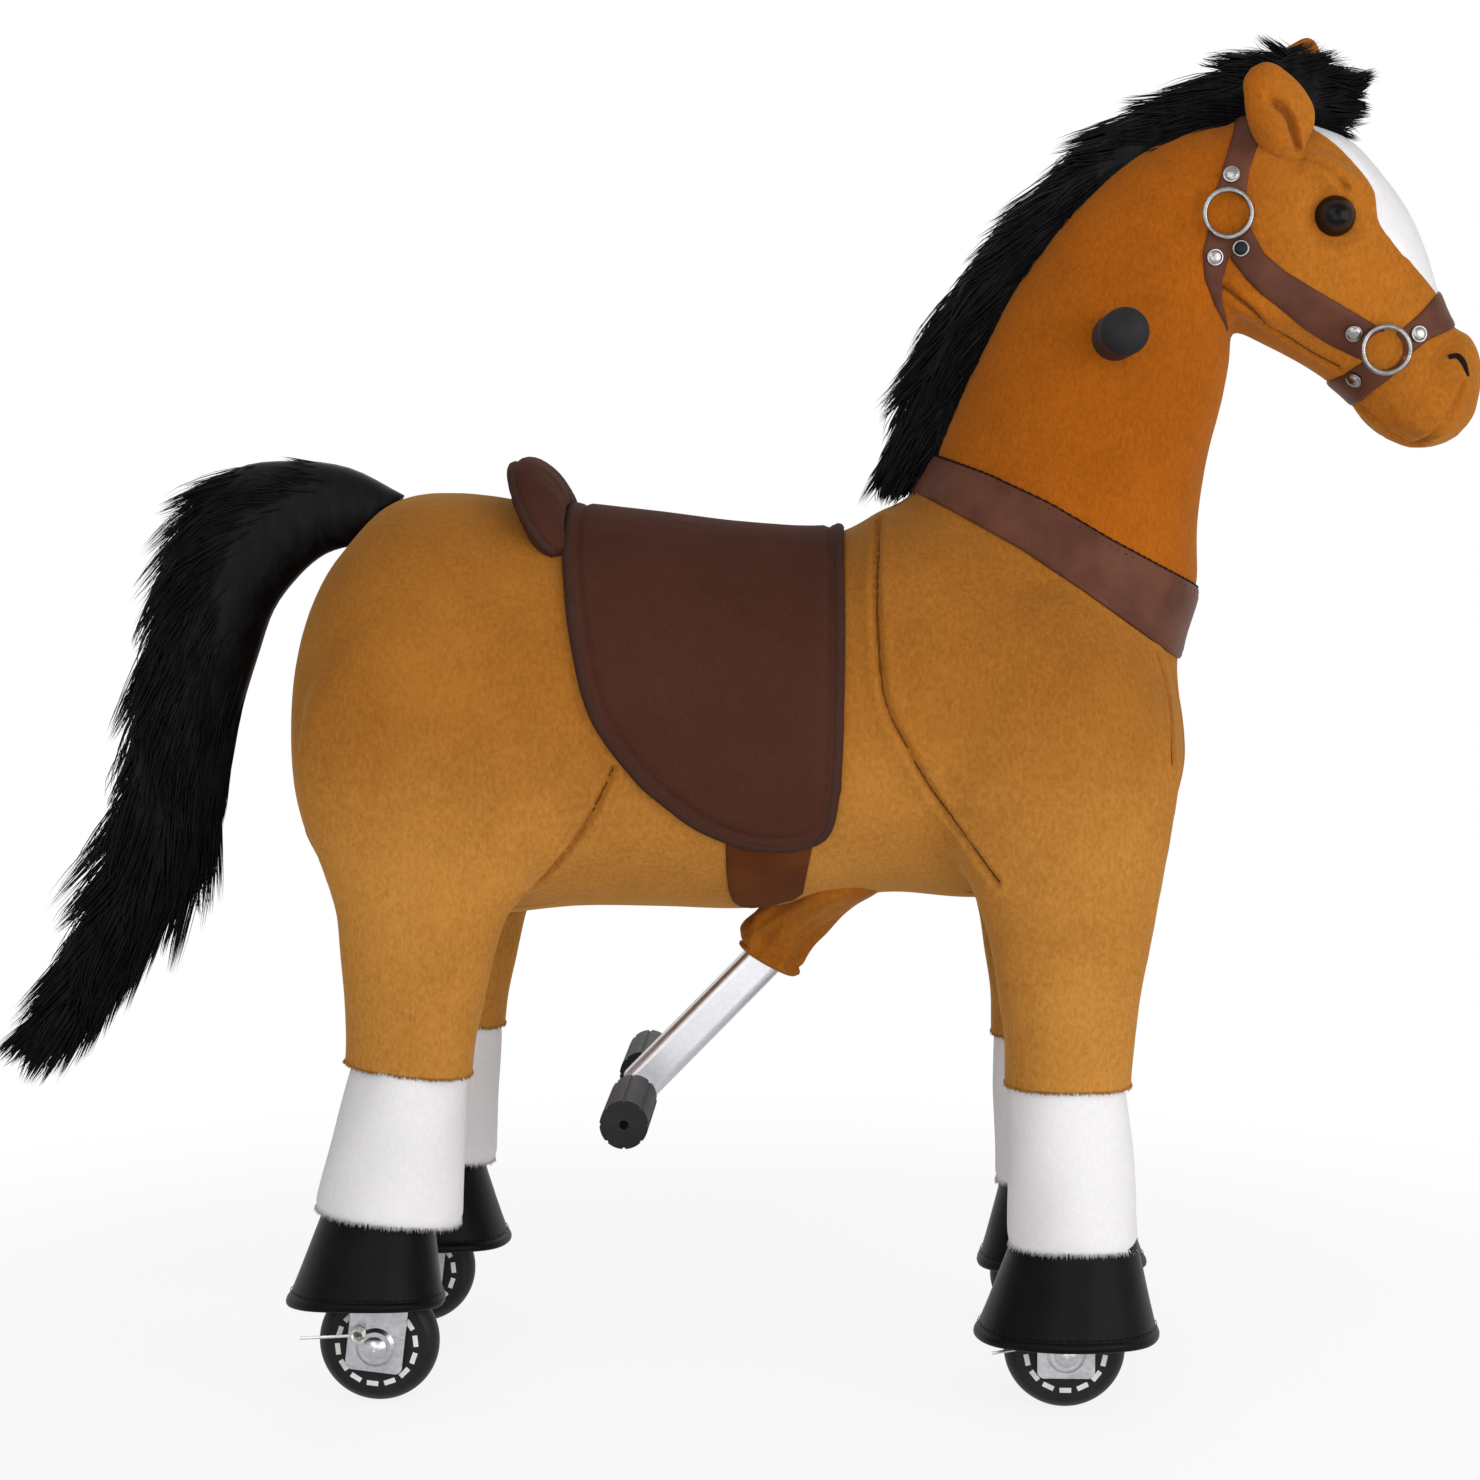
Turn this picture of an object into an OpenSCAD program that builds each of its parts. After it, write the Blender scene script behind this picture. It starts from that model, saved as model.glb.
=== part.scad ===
// Ride-on plush horse on four wheels. A steel chassis inside the stuffed body carries two pairs of legs
// that swing on hip shafts. A foot lever under the belly works both pairs through tie rods.
// Frame: +X towards the nose, +Y to the horse's left, +Z up, floor at Z = 0. Millimetres.

/* [Wheels] */
// Diameter of a wheel over its tread
wheel_d = 68; // [64:1:72]
// Width of a wheel
wheel_w = 24; // [22:1:26]
// Diameter of an axle bolt
axle_d = 8; // [6:0.5:9]
// Number of light lugs that show in each side of a tyre
lug_count = 14; // [10:1:16]

/* [Legs] */
// Length of a leg from its hip shaft to its axle
leg_l = 333; // [325:1:340]
// Distance from the middle plane to the middle of a leg
leg_y = 84; // [82:1:90]
// Outer diameter of the steel leg tube
leg_tube_d = 25; // [20:1:28]
// Backward lean of the hind legs at rest, in degrees
rear_lean = 6.7; // [4:0.1:9]
// Forward swing of the front legs, in degrees
front_swing = 26; // [20:1:28]
// Backward swing of the hind legs, in degrees
rear_swing = 20; // [16:1:22]

/* [Chassis] */
// Position of the front hip shaft along the horse
front_pivot_x = 190; // [186:1:194]
// Position of the rear hip shaft along the horse
rear_pivot_x = -157; // [-161:1:-153]
// Diameter of a hip shaft
hip_d = 22; // [18:1:24]
// Thickness of a chassis side plate
plate_t = 5; // [3:0.5:6]

/* [Foot lever] */
// Forward swing of the foot lever, in degrees
pedal_swing = 44.6; // [40:0.2:46]
// Position of the foot lever shaft along the horse
pedal_pivot_x = -42; // [-45:1:-39]
// Drop of the foot lever shaft below the hip shafts
pedal_drop = 44; // [41:1:46]
// Width of the foot lever tube, seen from the side
lever_w = 22; // [18:1:24]
// Overall width over both foot grips
pedal_span = 230; // [200:2:250]
// Diameter of a foot grip
pedal_grip_d = 27; // [24:1:30]

/* [Handlebar] */
// Overall width of the handlebar
bar_span = 240; // [220:2:260]
// Diameter of the handlebar tube
bar_d = 19; // [16:1:21]
// Diameter of a hand grip
grip_d = 26; // [24:1:30]

/* [Stuffed body] */
// Length of the trunk
trunk_l = 520; // [515:1:525]
// Width of the trunk
trunk_w = 224; // [220:1:232]
// Height of the trunk
trunk_h = 250; // [248:1:254]
// Width of the neck at its base
neck_w = 158; // [150:1:164]
// Width of the head
head_w = 100; // [96:1:106]

/* [Tack] */
// Thickness of the saddle
saddle_t = 7; // [5:0.5:9]
// Thickness of a strap
strap_t = 2.4; // [2:0.2:3]
// Width of the chest collar
collar_w = 41; // [36:1:44]

/* [Hidden] */
$fn = 48;

// Clearances and the overrun of a cut
run_fit = 0.05;
loose_fit = 0.3;
cloth_gap = 1;
over = 1;
left = 1;
right = -1;

// Finishes
plush = "#b5701c";
white_plush = "#ececec";
black_fur = "#141416";
vinyl = "#1d1c1e";
suede = "#472519";
tan_strap = "#63382a";
steel = "#c4c6ca";
painted = "#3b3e44";
rubber = "#26262a";
lug_white = "#e9e9e6";

// Main places that follow from the driving sizes
wheel_r = wheel_d / 2;
hip_r = hip_d / 2;
hip_z = wheel_r + leg_l;
rear_pivot_z = wheel_r + leg_l * cos(rear_lean);
pedal_pivot_z = hip_z - pedal_drop;
front_pivot = [front_pivot_x, 0, hip_z];
rear_pivot = [rear_pivot_x, 0, rear_pivot_z];
pedal_pivot = [pedal_pivot_x, 0, pedal_pivot_z];
// A place in the middle plane whose height is given from the front hip shaft
function from_hip(p) = [p[0], hip_z + p[1]];

// Signed power, for rounded-square outlines
function spow(v, e) = sign(v) * pow(abs(v), e);

// One closed ring about centre c with half axes u and v; e is 2 for an ellipse and more for a squarer form
function ring(c, u, v, n, e) =
    [for (i = [0 : n - 1]) let (t = 360 * i / n) c + u * spow(cos(t), 2 / e) + v * spow(sin(t), 2 / e)];

function middle(points) = [for (k = [0 : 2])
    let (s = [for (p = points) p[k]]) s * [for (p = points) 1] / len(s)];

// Triangles between ring j and ring j + 1 of rings with n points, from point offset at
function band(j, n, at = 0, step = 1) =
    [for (i = [0 : n - 1]) let (a = at + j * n + i, b = at + j * n + (i + 1) % n, c = a + step * n,
        d = b + step * n)
        each [[a, b, d], [a, d, c]]];

// Closed solid through a list of rings
module skin(rings) {
    n = len(rings[0]);
    m = len(rings);
    points = concat([for (r = rings) each r], [middle(rings[0]), middle(rings[m - 1])]);
    last = (m - 1) * n;
    polyhedron(points, concat(
        [for (j = [0 : m - 2]) each band(j, n)],
        [for (i = [0 : n - 1]) [m * n, (i + 1) % n, i]],
        [for (i = [0 : n - 1]) [m * n + 1, last + i, last + (i + 1) % n]]));
}

// Stuffed form: a chain of swelling sections through a list of rounded rings
module stuffed(rings) {
    for (j = [0 : len(rings) - 2]) hull() skin([rings[j], rings[j + 1]]);
}

// Closed tube between outer rings and inner rings of the same count
module sleeve(outer, inner) {
    n = len(outer[0]);
    m = len(outer);
    at = m * n;
    flip = function(f) [f[0], f[2], f[1]];
    rim = function(a, b) [for (i = [0 : n - 1]) let (k = (i + 1) % n)
        each [[a + i, b + k, b + i], [a + i, a + k, b + k]]];
    polyhedron(concat([for (r = outer) each r], [for (r = inner) each r]), concat(
        [for (j = [0 : m - 2]) each band(j, n)],
        [for (j = [0 : m - 2]) each [for (f = band(j, n, at)) flip(f)]],
        [for (f = rim(0, at)) flip(f)],
        rim(at - n, 2 * at - n)));
}

// Ring that spans two points of the middle plane, [x, z] low to high, with half width hy and outward
// growth grow
function pair_ring(p, q, hy, n, e, grow = 0) =
    let (c = [(p[0] + q[0]) / 2, 0, (p[1] + q[1]) / 2],
        v = [(q[0] - p[0]) / 2, 0, (q[1] - p[1]) / 2])
    ring(c, [0, hy + grow, 0], v * (1 + grow / norm(v)), n, e);

// The rows of a table of shares as rings: [low x, low z, high x, high z, half width] of place and size
function share_rings(rows, place, size, width, n, e, grow = 0) = [for (r = rows) pair_ring(
    [place[0] + r[0] * size[0], place[1] + r[1] * size[1]],
    [place[0] + r[2] * size[0], place[1] + r[3] * size[1]], r[4] * width / 2, n, e, grow)];

// Row of a table at a fractional row number
function row_at(rows, v) =
    let (i = min(floor(v), len(rows) - 2), f = v - i) rows[i] * (1 - f) + rows[i + 1] * f;

// Solid rod across the horse at [x, z]
module cross_rod(at, r, y0, y1) {
    translate([at[0], y1, at[1]]) rotate([90, 0, 0]) cylinder(r = r, h = y1 - y0);
}

// Flat link in the XZ plane between two round ends, from y0 to y1
module flat_link(p, q, rp, rq, y0, y1) {
    translate([0, y1, 0]) rotate([90, 0, 0]) linear_extrude(y1 - y0) hull() {
        translate(p) circle(rp);
        translate(q) circle(rq);
    }
}

function xz(p) = [p[0], p[2]];

module at_front() { translate(front_pivot) children(); }
module at_rear() { translate(rear_pivot) rotate([0, rear_lean, 0]) children(); }
module on_side(side) { translate([0, side * leg_y, 0]) children(); }

// Trunk

// Position of the trunk's tail end and lowest line
trunk_x = -254;
trunk_drop = 104;
trunk_z = hip_z - trunk_drop;
trunk_e = 2.3;
trunk_sides = 24;
// Rows: share of length, of height at the belly, of height at the back, of half width
trunk_shares = [
    [0.000, 0.340, 0.480, 0.16], [0.012, 0.230, 0.650, 0.46], [0.031, 0.140, 0.775, 0.66],
    [0.062, 0.085, 0.872, 0.82], [0.117, 0.040, 0.980, 0.945], [0.200, 0.020, 0.996, 1.00],
    [0.315, 0.036, 0.956, 0.985], [0.412, 0.036, 0.930, 0.965], [0.508, 0.034, 0.906, 0.950],
    [0.604, 0.056, 0.902, 0.950], [0.671, 0.072, 0.966, 0.955], [0.748, 0.060, 0.960, 0.970],
    [0.825, 0.068, 0.884, 0.955], [0.892, 0.100, 0.796, 0.875], [0.950, 0.164, 0.708, 0.715],
    [0.981, 0.248, 0.628, 0.52], [1.000, 0.356, 0.528, 0.23]
];
function trunk_column(k) = [for (r = trunk_shares) [trunk_x + r[0] * trunk_l, r[k]]];
trunk_low_line = trunk_column(1);
trunk_high_line = trunk_column(2);
trunk_half_line = trunk_column(3);
function trunk_low(x) = trunk_z + trunk_h * lookup(x, trunk_low_line);
function trunk_high(x) = trunk_z + trunk_h * lookup(x, trunk_high_line);
function trunk_mid(x) = (trunk_low(x) + trunk_high(x)) / 2;
function trunk_rise(x) = (trunk_high(x) - trunk_low(x)) / 2;
function trunk_half(x) = trunk_w / 2 * lookup(x, trunk_half_line);
// Point of the trunk's skin at x and angle t, moved outward by off
function trunk_point(x, t, off = 0) = [x,
    (trunk_half(x) + off) * spow(cos(t), 2 / trunk_e),
    trunk_mid(x) + (trunk_rise(x) + off) * spow(sin(t), 2 / trunk_e)];
// Angle at which the skin at x has height z
function trunk_angle(x, z) = asin(spow(min(1, max(-1, (z - trunk_mid(x)) / trunk_rise(x))), trunk_e / 2));
function trunk_ring(x, off = 0) =
    [for (i = [0 : trunk_sides - 1]) trunk_point(x, 360 * i / trunk_sides, off)];

function trunk_rings(grow = 0) = [for (r = trunk_shares) trunk_ring(trunk_x + r[0] * trunk_l, grow)];
// The same form grown by the gap that a neighbouring stuffed piece keeps from it
module trunk_room() { stuffed(trunk_rings(loose_fit)); }

// Chassis channel inside the trunk
channel_half = 54;
channel_behind = 38;
channel_ahead = 32;
channel_rear_x = rear_pivot_x - channel_behind;
channel_front_x = front_pivot_x + channel_ahead;
channel_rise = 80;
seat_zone_x = [-106, 96];
seat_zone_rise = 92;
socket_zone_x = [126, 202];
socket_zone_half = 46;
socket_zone_rise = 97;

// Room that a thigh needs in the side of the trunk
thigh_inner = 52;
thigh_room_r = 91;
// Rows: half width and height under the hip of the room below a thigh, as shares of thigh_room_r
thigh_room_shares = [[0.93, -0.25], [0.62, -0.88], [0.46, -1.75]];
thigh_room = [for (s = thigh_room_shares) s * thigh_room_r];
thigh_room_outline = concat(thigh_room, [for (i = [2 : -1 : 0]) [-thigh_room[i][0], thigh_room[i][1]]]);

module thigh_room_cut(swing) {
    depth = trunk_w;
    for (side = [left, right])
        translate([0, side > 0 ? thigh_inner + depth : -thigh_inner, 0]) rotate([90, 0, 0])
            linear_extrude(depth) union() {
                circle(thigh_room_r);
                hull() {
                    polygon(thigh_room_outline);
                    rotate(swing) polygon(thigh_room_outline);
                }
            }
}

module channel_block(x, half, top_z) {
    translate([x[0], -half, 0]) cube([x[1] - x[0], 2 * half, top_z]);
}

module trunk() {
    color(plush) difference() {
        skin(trunk_rings());
        channel_block([channel_rear_x, channel_front_x], channel_half, hip_z + channel_rise);
        channel_block(seat_zone_x, channel_half, hip_z + seat_zone_rise);
        channel_block(socket_zone_x, socket_zone_half, hip_z + socket_zone_rise);
        translate(front_pivot) thigh_room_cut(front_swing);
        translate(rear_pivot) rotate([0, rear_lean, 0]) thigh_room_cut(-rear_swing);
        post_room();
    }
}

// Belly panel that closes the channel below, with a slot for the foot lever
panel_half = thigh_inner - cloth_gap;
panel_t = 28;
panel_top_z = trunk_z + panel_t;
slot_half = 21;
slot_rear_x = -28;
slot_front_x = 100;

module belly_panel() {
    color(plush) difference() {
        intersection() {
            stuffed(trunk_rings());
            translate([channel_rear_x + loose_fit, -panel_half, 0])
                cube([channel_front_x - channel_rear_x - 2 * loose_fit, 2 * panel_half, panel_top_z]);
        }
        translate([slot_rear_x, -slot_half, 0])
            cube([slot_front_x - slot_rear_x, 2 * slot_half, panel_top_z + over]);
    }
}

// Neck, head and hair

neck_root = [95, 53];
neck_place = from_hip(neck_root);
neck_size = [200, 305];
neck_sides = 20;
neck_e = 2.2;
// Rows: front x and z, crest x and z, half width
neck_shares = [
    [0.835, 0.000, 0.000, 0.262, 1.00], [0.865, 0.105, 0.085, 0.334, 0.96],
    [0.865, 0.236, 0.135, 0.420, 0.87], [0.890, 0.361, 0.225, 0.551, 0.77],
    [0.930, 0.466, 0.340, 0.695, 0.69], [0.960, 0.564, 0.485, 0.823, 0.635],
    [0.995, 0.630, 0.665, 0.928, 0.595], [1.040, 0.675, 0.835, 0.977, 0.555]
];
function neck_rings(grow = 0) = share_rings(neck_shares, neck_place, neck_size, neck_w, neck_sides,
    neck_e, grow);
module neck_form(grow = 0) { stuffed(neck_rings(grow)); }

head_root = [255, 161];
head_place = from_hip(head_root);
head_size = [173, 198];
head_sides = 20;
head_e = 2.2;
// Rows: jaw x and z, brow x and z, half width
head_shares = [
    [0.020, 0.540, 0.060, 0.915, 0.70], [0.080, 0.440, 0.230, 0.995, 0.92],
    [0.200, 0.376, 0.420, 0.975, 1.00], [0.306, 0.336, 0.560, 0.924, 1.00],
    [0.404, 0.293, 0.670, 0.823, 0.95], [0.480, 0.252, 0.757, 0.717, 0.86],
    [0.549, 0.207, 0.820, 0.591, 0.77], [0.595, 0.166, 0.861, 0.475, 0.71],
    [0.630, 0.126, 0.907, 0.394, 0.70], [0.676, 0.085, 0.960, 0.364, 0.71],
    [0.745, 0.055, 0.990, 0.308, 0.67], [0.826, 0.045, 0.998, 0.237, 0.55],
    [0.907, 0.066, 0.985, 0.141, 0.28]
];
function head_rings(grow = 0) = share_rings(head_shares, head_place, head_size, head_w, head_sides,
    head_e, grow);
module head_form(grow = 0) { stuffed(head_rings(grow)); }
// Point of the head's skin at fractional row v and angle t
function head_point(v, t, grow = 0) =
    let (r = row_at(head_shares, v),
        low = [head_place[0] + r[0] * head_size[0], head_place[1] + r[1] * head_size[1]],
        high = [head_place[0] + r[2] * head_size[0], head_place[1] + r[3] * head_size[1]],
        c = (low + high) / 2, d = (high - low) / 2 * (1 + 2 * grow / norm(high - low)))
    [c[0] + d[0] * spow(sin(t), 2 / head_e), (r[4] * head_w / 2 + grow) * spow(cos(t), 2 / head_e),
        c[1] + d[1] * spow(sin(t), 2 / head_e)];

module neck() {
    color(plush) difference() {
        neck_form();
        trunk_room();
        translate(front_pivot) thigh_room_cut(front_swing);
        post_room();
        cross_rod(bar_place, bar_d / 2 + loose_fit, -neck_w, neck_w);
    }
}

module head() {
    color(plush) difference() {
        head_form();
        neck_form(loose_fit);
        eye_balls(loose_fit, eye_socket_facets);
    }
}

// Eyes: black domes on a stem that is locked inside the head
eye_r = 11.5;
eye_sink = 5.5;
eye_row_share = 3.15;
eye_angle = 14;
eye_stem_r = 2.5;
eye_stem_l = 14;
eye_socket_facets = 20;
function eye_place(side) =
    let (p = head_point(eye_row_share, eye_angle, -eye_sink)) [p[0], side * p[1], p[2]];
module eye_balls(gap, facets = $fn) {
    for (side = [left, right]) translate(eye_place(side)) {
        sphere(eye_r + gap, $fn = facets);
        rotate([side * 90, 0, 0]) cylinder(r = eye_stem_r + gap, h = eye_r + eye_stem_l + gap);
    }
}
module eyes() { color(rubber) eye_balls(0); }

// Ears: cupped leaves that stand up and lean forward
ear_root = [311, 331];
ear_place = from_hip(ear_root);
ear_size = [40, 58];
ear_base_y = 31;
ear_lean_y = 7;
ear_half_t = 6.5;
ear_sides = 12;
// Rows: share of height, middle x, half width, half thickness
ear_shares = [
    [0.00, 0.10, 0.20, 0.75], [0.22, 0.00, 0.42, 1.00], [0.50, -0.02, 0.50, 0.95],
    [0.75, -0.16, 0.40, 0.80], [0.92, -0.26, 0.24, 0.60], [1.00, -0.30, 0.08, 0.25]
];
module ear(side) {
    stuffed([for (s = ear_shares) ring(
        [ear_place[0] + s[1] * ear_size[0], side * (ear_base_y + ear_lean_y * s[0]),
            ear_place[1] + s[0] * ear_size[1]],
        [s[2] * ear_size[0], 0, 0], [0, s[3] * ear_half_t, 0], ear_sides, 2)]);
}
module ears() {
    color(plush) difference() {
        for (side = [left, right]) ear(side);
        head_form(loose_fit);
    }
}

// Mane and forelock: long pile along the crest of the neck
mane_root = [70, 133];
mane_place = from_hip(mane_root);
mane_size = [270, 268];
mane_w = 34;
mane_sides = 12;
// Rows: inner x and z, outer x and z, half width
mane_shares = [
    [0.135, 0.070, 0.026, 0.060, 0.25], [0.185, 0.180, 0.075, 0.187, 0.75], [0.245, 0.280, 0.108, 0.320,
    0.95],
    [0.310, 0.399, 0.180, 0.470, 1.00], [0.390, 0.530, 0.285, 0.612, 1.00], [0.480, 0.640, 0.400, 0.738,
    1.00],
    [0.600, 0.745, 0.540, 0.850, 1.00], [0.720, 0.800, 0.696, 0.925, 1.00], [0.815, 0.820, 0.815, 0.975, 0.85]
];
strap_room = strap_t + cloth_gap;
module mane_form(grow = 0) {
    stuffed(share_rings(mane_shares, mane_place, mane_size, mane_w, mane_sides, 2, grow));
}
module mane() {
    color(black_fur) difference() {
        mane_form();
        neck_form(strap_room);
        head_form(strap_room);
    }
}

forelock_w = 36;
forelock_sides = 12;
// Rows in the mane's box: inner x and z, outer x and z, half width
forelock_shares = [
    [0.820, 0.820, 0.822, 0.974, 0.80], [0.900, 0.815, 0.920, 0.983, 1.00], [0.985, 0.795, 1.030, 0.962,
    0.95],
    [1.020, 0.800, 1.085, 0.935, 0.70], [1.060, 0.840, 1.092, 0.910, 0.25]
];
module forelock() {
    color(black_fur) difference() {
        stuffed(share_rings(forelock_shares, mane_place, mane_size, forelock_w, forelock_sides, 2));
        head_form(strap_room);
        neck_form(strap_room);
    }
}

// Tail: a thick plume that arches out of the croup and hangs
tail_root = [-428, -196];
tail_place = from_hip(tail_root);
tail_size = [235, 360];
tail_w = 60;
tail_sides = 14;
// Rows: outer x and z, inner x and z, half width
tail_shares = [
    [1.000, 0.930, 0.876, 0.840, 0.50], [0.876, 0.982, 0.800, 0.828, 0.70], [0.726, 0.995, 0.726, 0.806,
    0.86],
    [0.551, 0.992, 0.650, 0.747, 1.00], [0.436, 0.928, 0.611, 0.675, 1.00], [0.350, 0.789, 0.577, 0.580,
    0.97],
    [0.295, 0.650, 0.555, 0.497, 0.93], [0.235, 0.469, 0.526, 0.364, 0.87], [0.167, 0.275, 0.436, 0.253,
    0.73],
    [0.094, 0.136, 0.330, 0.136, 0.53], [0.000, 0.035, 0.160, 0.000, 0.20]
];
module tail() {
    color(black_fur) difference() {
        stuffed(share_rings(tail_shares, tail_place, tail_size, tail_w, tail_sides, 2));
        trunk_room();
    }
}

// Saddle and straps

saddle_x = -90;
saddle_l = 154;
saddle_rise = 118;
saddle_top_z = hip_z + saddle_rise;
saddle_drop = 170;
saddle_columns = 28;
saddle_gap = 1.8;
// Rows: share of the length, share of the drop at the flap's lower edge
saddle_edge_shares = [
    [0.000, 0.040], [0.030, 0.130], [0.072, 0.318], [0.143, 0.576], [0.286, 0.771], [0.500, 0.935],
    [0.643, 0.988], [0.779, 1.000], [0.857, 0.994], [0.922, 0.971], [0.955, 0.947], [0.987, 0.865],
        [1.000, 0.735]
];
// Sheet over the trunk: rows of [x, first angle, last angle], inner and outer offsets, columns across
module trunk_sheet(rows, inner, outer, columns) {
    n = columns + 1;
    m = len(rows);
    at = m * n;
    grid = function(off) [for (r = rows, j = [0 : columns])
        trunk_point(r[0], r[1] + (r[2] - r[1]) * j / columns, off)];
    quad = function(a, b, c, d) [[a, b, c], [a, c, d]];
    last = (m - 1) * n;
    polyhedron(concat(grid(outer), grid(inner)), concat(
        [for (i = [0 : m - 2], j = [0 : columns - 1]) let (k = i * n + j) each quad(k, k + 1, k + n + 1,
            k + n)],
        [for (i = [0 : m - 2], j = [0 : columns - 1]) let (k = at + i * n + j) each quad(k, k + n,
            k + n + 1, k + 1)],
        [for (j = [0 : columns - 1]) each quad(j + 1, j, at + j, at + j + 1)],
        [for (j = [0 : columns - 1]) each quad(last + j, last + j + 1, at + last + j + 1, at + last + j)],
        [for (i = [0 : m - 2]) let (k = i * n) each quad(k, k + n, at + k + n, at + k)],
        [for (i = [0 : m - 2]) let (k = i * n + columns) each quad(k + n, k, at + k, at + k + n)]));
}
function saddle_edge_z(x) = saddle_top_z - saddle_drop * lookup((x - saddle_x) / saddle_l,
    saddle_edge_shares);
module saddle() {
    rows = [for (s = saddle_edge_shares)
        let (x = saddle_x + s[0] * saddle_l, a = trunk_angle(x, saddle_edge_z(x))) [x, a, 180 - a]];
    color(suede) trunk_sheet(rows, saddle_gap, saddle_t, saddle_columns);
}

// Cantle: a padded roll that stands up behind the seat and leans back
cantle_behind = 13;
cantle_x = saddle_x - cantle_behind;
cantle_h = 48;
cantle_half_t = 12;
cantle_lean = 38;
cantle_low_angle = 38;
cantle_rows = 10;
cantle_sides = 12;
cantle_sink_share = 0.16;
cantle_tip_share = 0.22;
cantle_edge_share = 0.45;
function cantle_ring(k) =
    let (t = cantle_low_angle + (180 - 2 * cantle_low_angle) * k / cantle_rows,
        swell = cantle_tip_share + (1 - cantle_tip_share) * sin(180 * k / cantle_rows),
        root_point = trunk_point(cantle_x, t, loose_fit),
        out = [0, cos(t), sin(t)],
        up = out * cos(cantle_lean) - [sin(cantle_lean), 0, 0],
        across = out * sin(cantle_lean) + [cos(cantle_lean), 0, 0],
        h = cantle_h * swell)
    ring(root_point + up * h * (1 - cantle_sink_share) / 2,
        across * cantle_half_t * (cantle_edge_share + (1 - cantle_edge_share) * swell), up * h / 2,
            cantle_sides, 2);
module cantle() {
    color(suede) difference() {
        stuffed([for (k = [0 : cantle_rows]) cantle_ring(k)]);
        trunk_room();
    }
}

// Girth tabs: a broad strap under each flap that is stuck to the belly
girth_x = [4, 46];
girth_drop = 83;
girth_low_z = hip_z - girth_drop;
girth_columns = 5;
girth_rows = 4;
girth_corner_share = 0.12;
module girth_tabs() {
    color(tan_strap) for (side = [left, right]) mirror([0, side > 0 ? 0 : 1, 0])
        trunk_sheet([for (k = [0 : girth_rows])
            let (x = girth_x[0] + (girth_x[1] - girth_x[0]) * k / girth_rows,
                high = saddle_edge_z(x) - cloth_gap,
                round_off = (k == 0 || k == girth_rows) ? girth_corner_share * (high - girth_low_z) : 0)
            [x, trunk_angle(x, girth_low_z + round_off), trunk_angle(x, high)]],
            loose_fit / 2, loose_fit / 2 + strap_t, girth_columns);
}

// Chest collar round the root of the neck, between two fractional rows of the neck
collar_foot_row_share = 0.1;
collar_gap = 1.3;
neck_row_rise = 33;
collar_row_step = collar_w / neck_row_rise;
collar_steps = 2;
collar_sides = 2 * neck_sides;
function neck_ring(v, n, grow) = share_rings([row_at(neck_shares, v)], neck_place, neck_size, neck_w, n,
    neck_e, grow)[0];
function collar_rings(grow) = [for (k = [0 : collar_steps])
    neck_ring(collar_foot_row_share + collar_row_step * k / collar_steps, collar_sides, grow)];
module breast_collar() {
    color(tan_strap) difference() {
        sleeve(collar_rings(collar_gap + strap_t), collar_rings(collar_gap));
        trunk_room();
        mane_form(cloth_gap);
        translate(front_pivot) thigh_room_cut(front_swing);
    }
}

// Bridle straps as lines in the side view, from and to a place in shares of the head's length and height
crown_half_w = 8;
cheek_half_w = 8.5;
crown_shares = [[0.185, 1.010, 0.145, 0.768], [0.127, 0.626, 0.139, 0.364]];
cheek_shares = [[0.179, 0.646, 0.272, 0.535], [0.272, 0.535, 0.572, 0.354]];
function on_profile(x, z) = [head_place[0] + x * head_size[0], head_place[1] + z * head_size[1]];
function strap_lines(rows, half_w) =
    [for (r = rows) [on_profile(r[0], r[1]), on_profile(r[2], r[3]), half_w]];
bridle_lines = concat(strap_lines(crown_shares, crown_half_w), strap_lines(cheek_shares, cheek_half_w));
module strap_line(l) {
    translate([0, head_w, 0]) rotate([90, 0, 0]) linear_extrude(2 * head_w) hull() {
        translate(l[0]) circle(l[2], $fn = 24);
        translate(l[1]) circle(l[2], $fn = 24);
    }
}
module headstall() {
    color(tan_strap) difference() {
        intersection() {
            union() { for (l = bridle_lines) strap_line(l); }
            union() {
                head_form(strap_t);
                neck_form(strap_t);
            }
        }
        head_form(loose_fit / 2);
        neck_form(loose_fit / 2);
    }
}

noseband_row_shares = [6.35, 7.55];
noseband_sides = 28;
function noseband_ring(v, grow) =
    [for (i = [0 : noseband_sides - 1]) head_point(v, 360 * i / noseband_sides, grow)];
module noseband() {
    color(tan_strap) sleeve(
        [for (v = noseband_row_shares) noseband_ring(v, strap_t + loose_fit)],
        [for (v = noseband_row_shares) noseband_ring(v, loose_fit)]);
}

// Trim on the bridle, placed by shares of the head's length, half width and height
ring_r = 13;
ring_wire_r = 1.5;
ring_shares = [[0.133, 1.024, 0.697], [0.653, 0.858, 0.318]];
rivet_r = 4.2;
rivet_h = 2.2;
rivet_sink = 0.2;
rivet_dome_r = 4.8;
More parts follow.
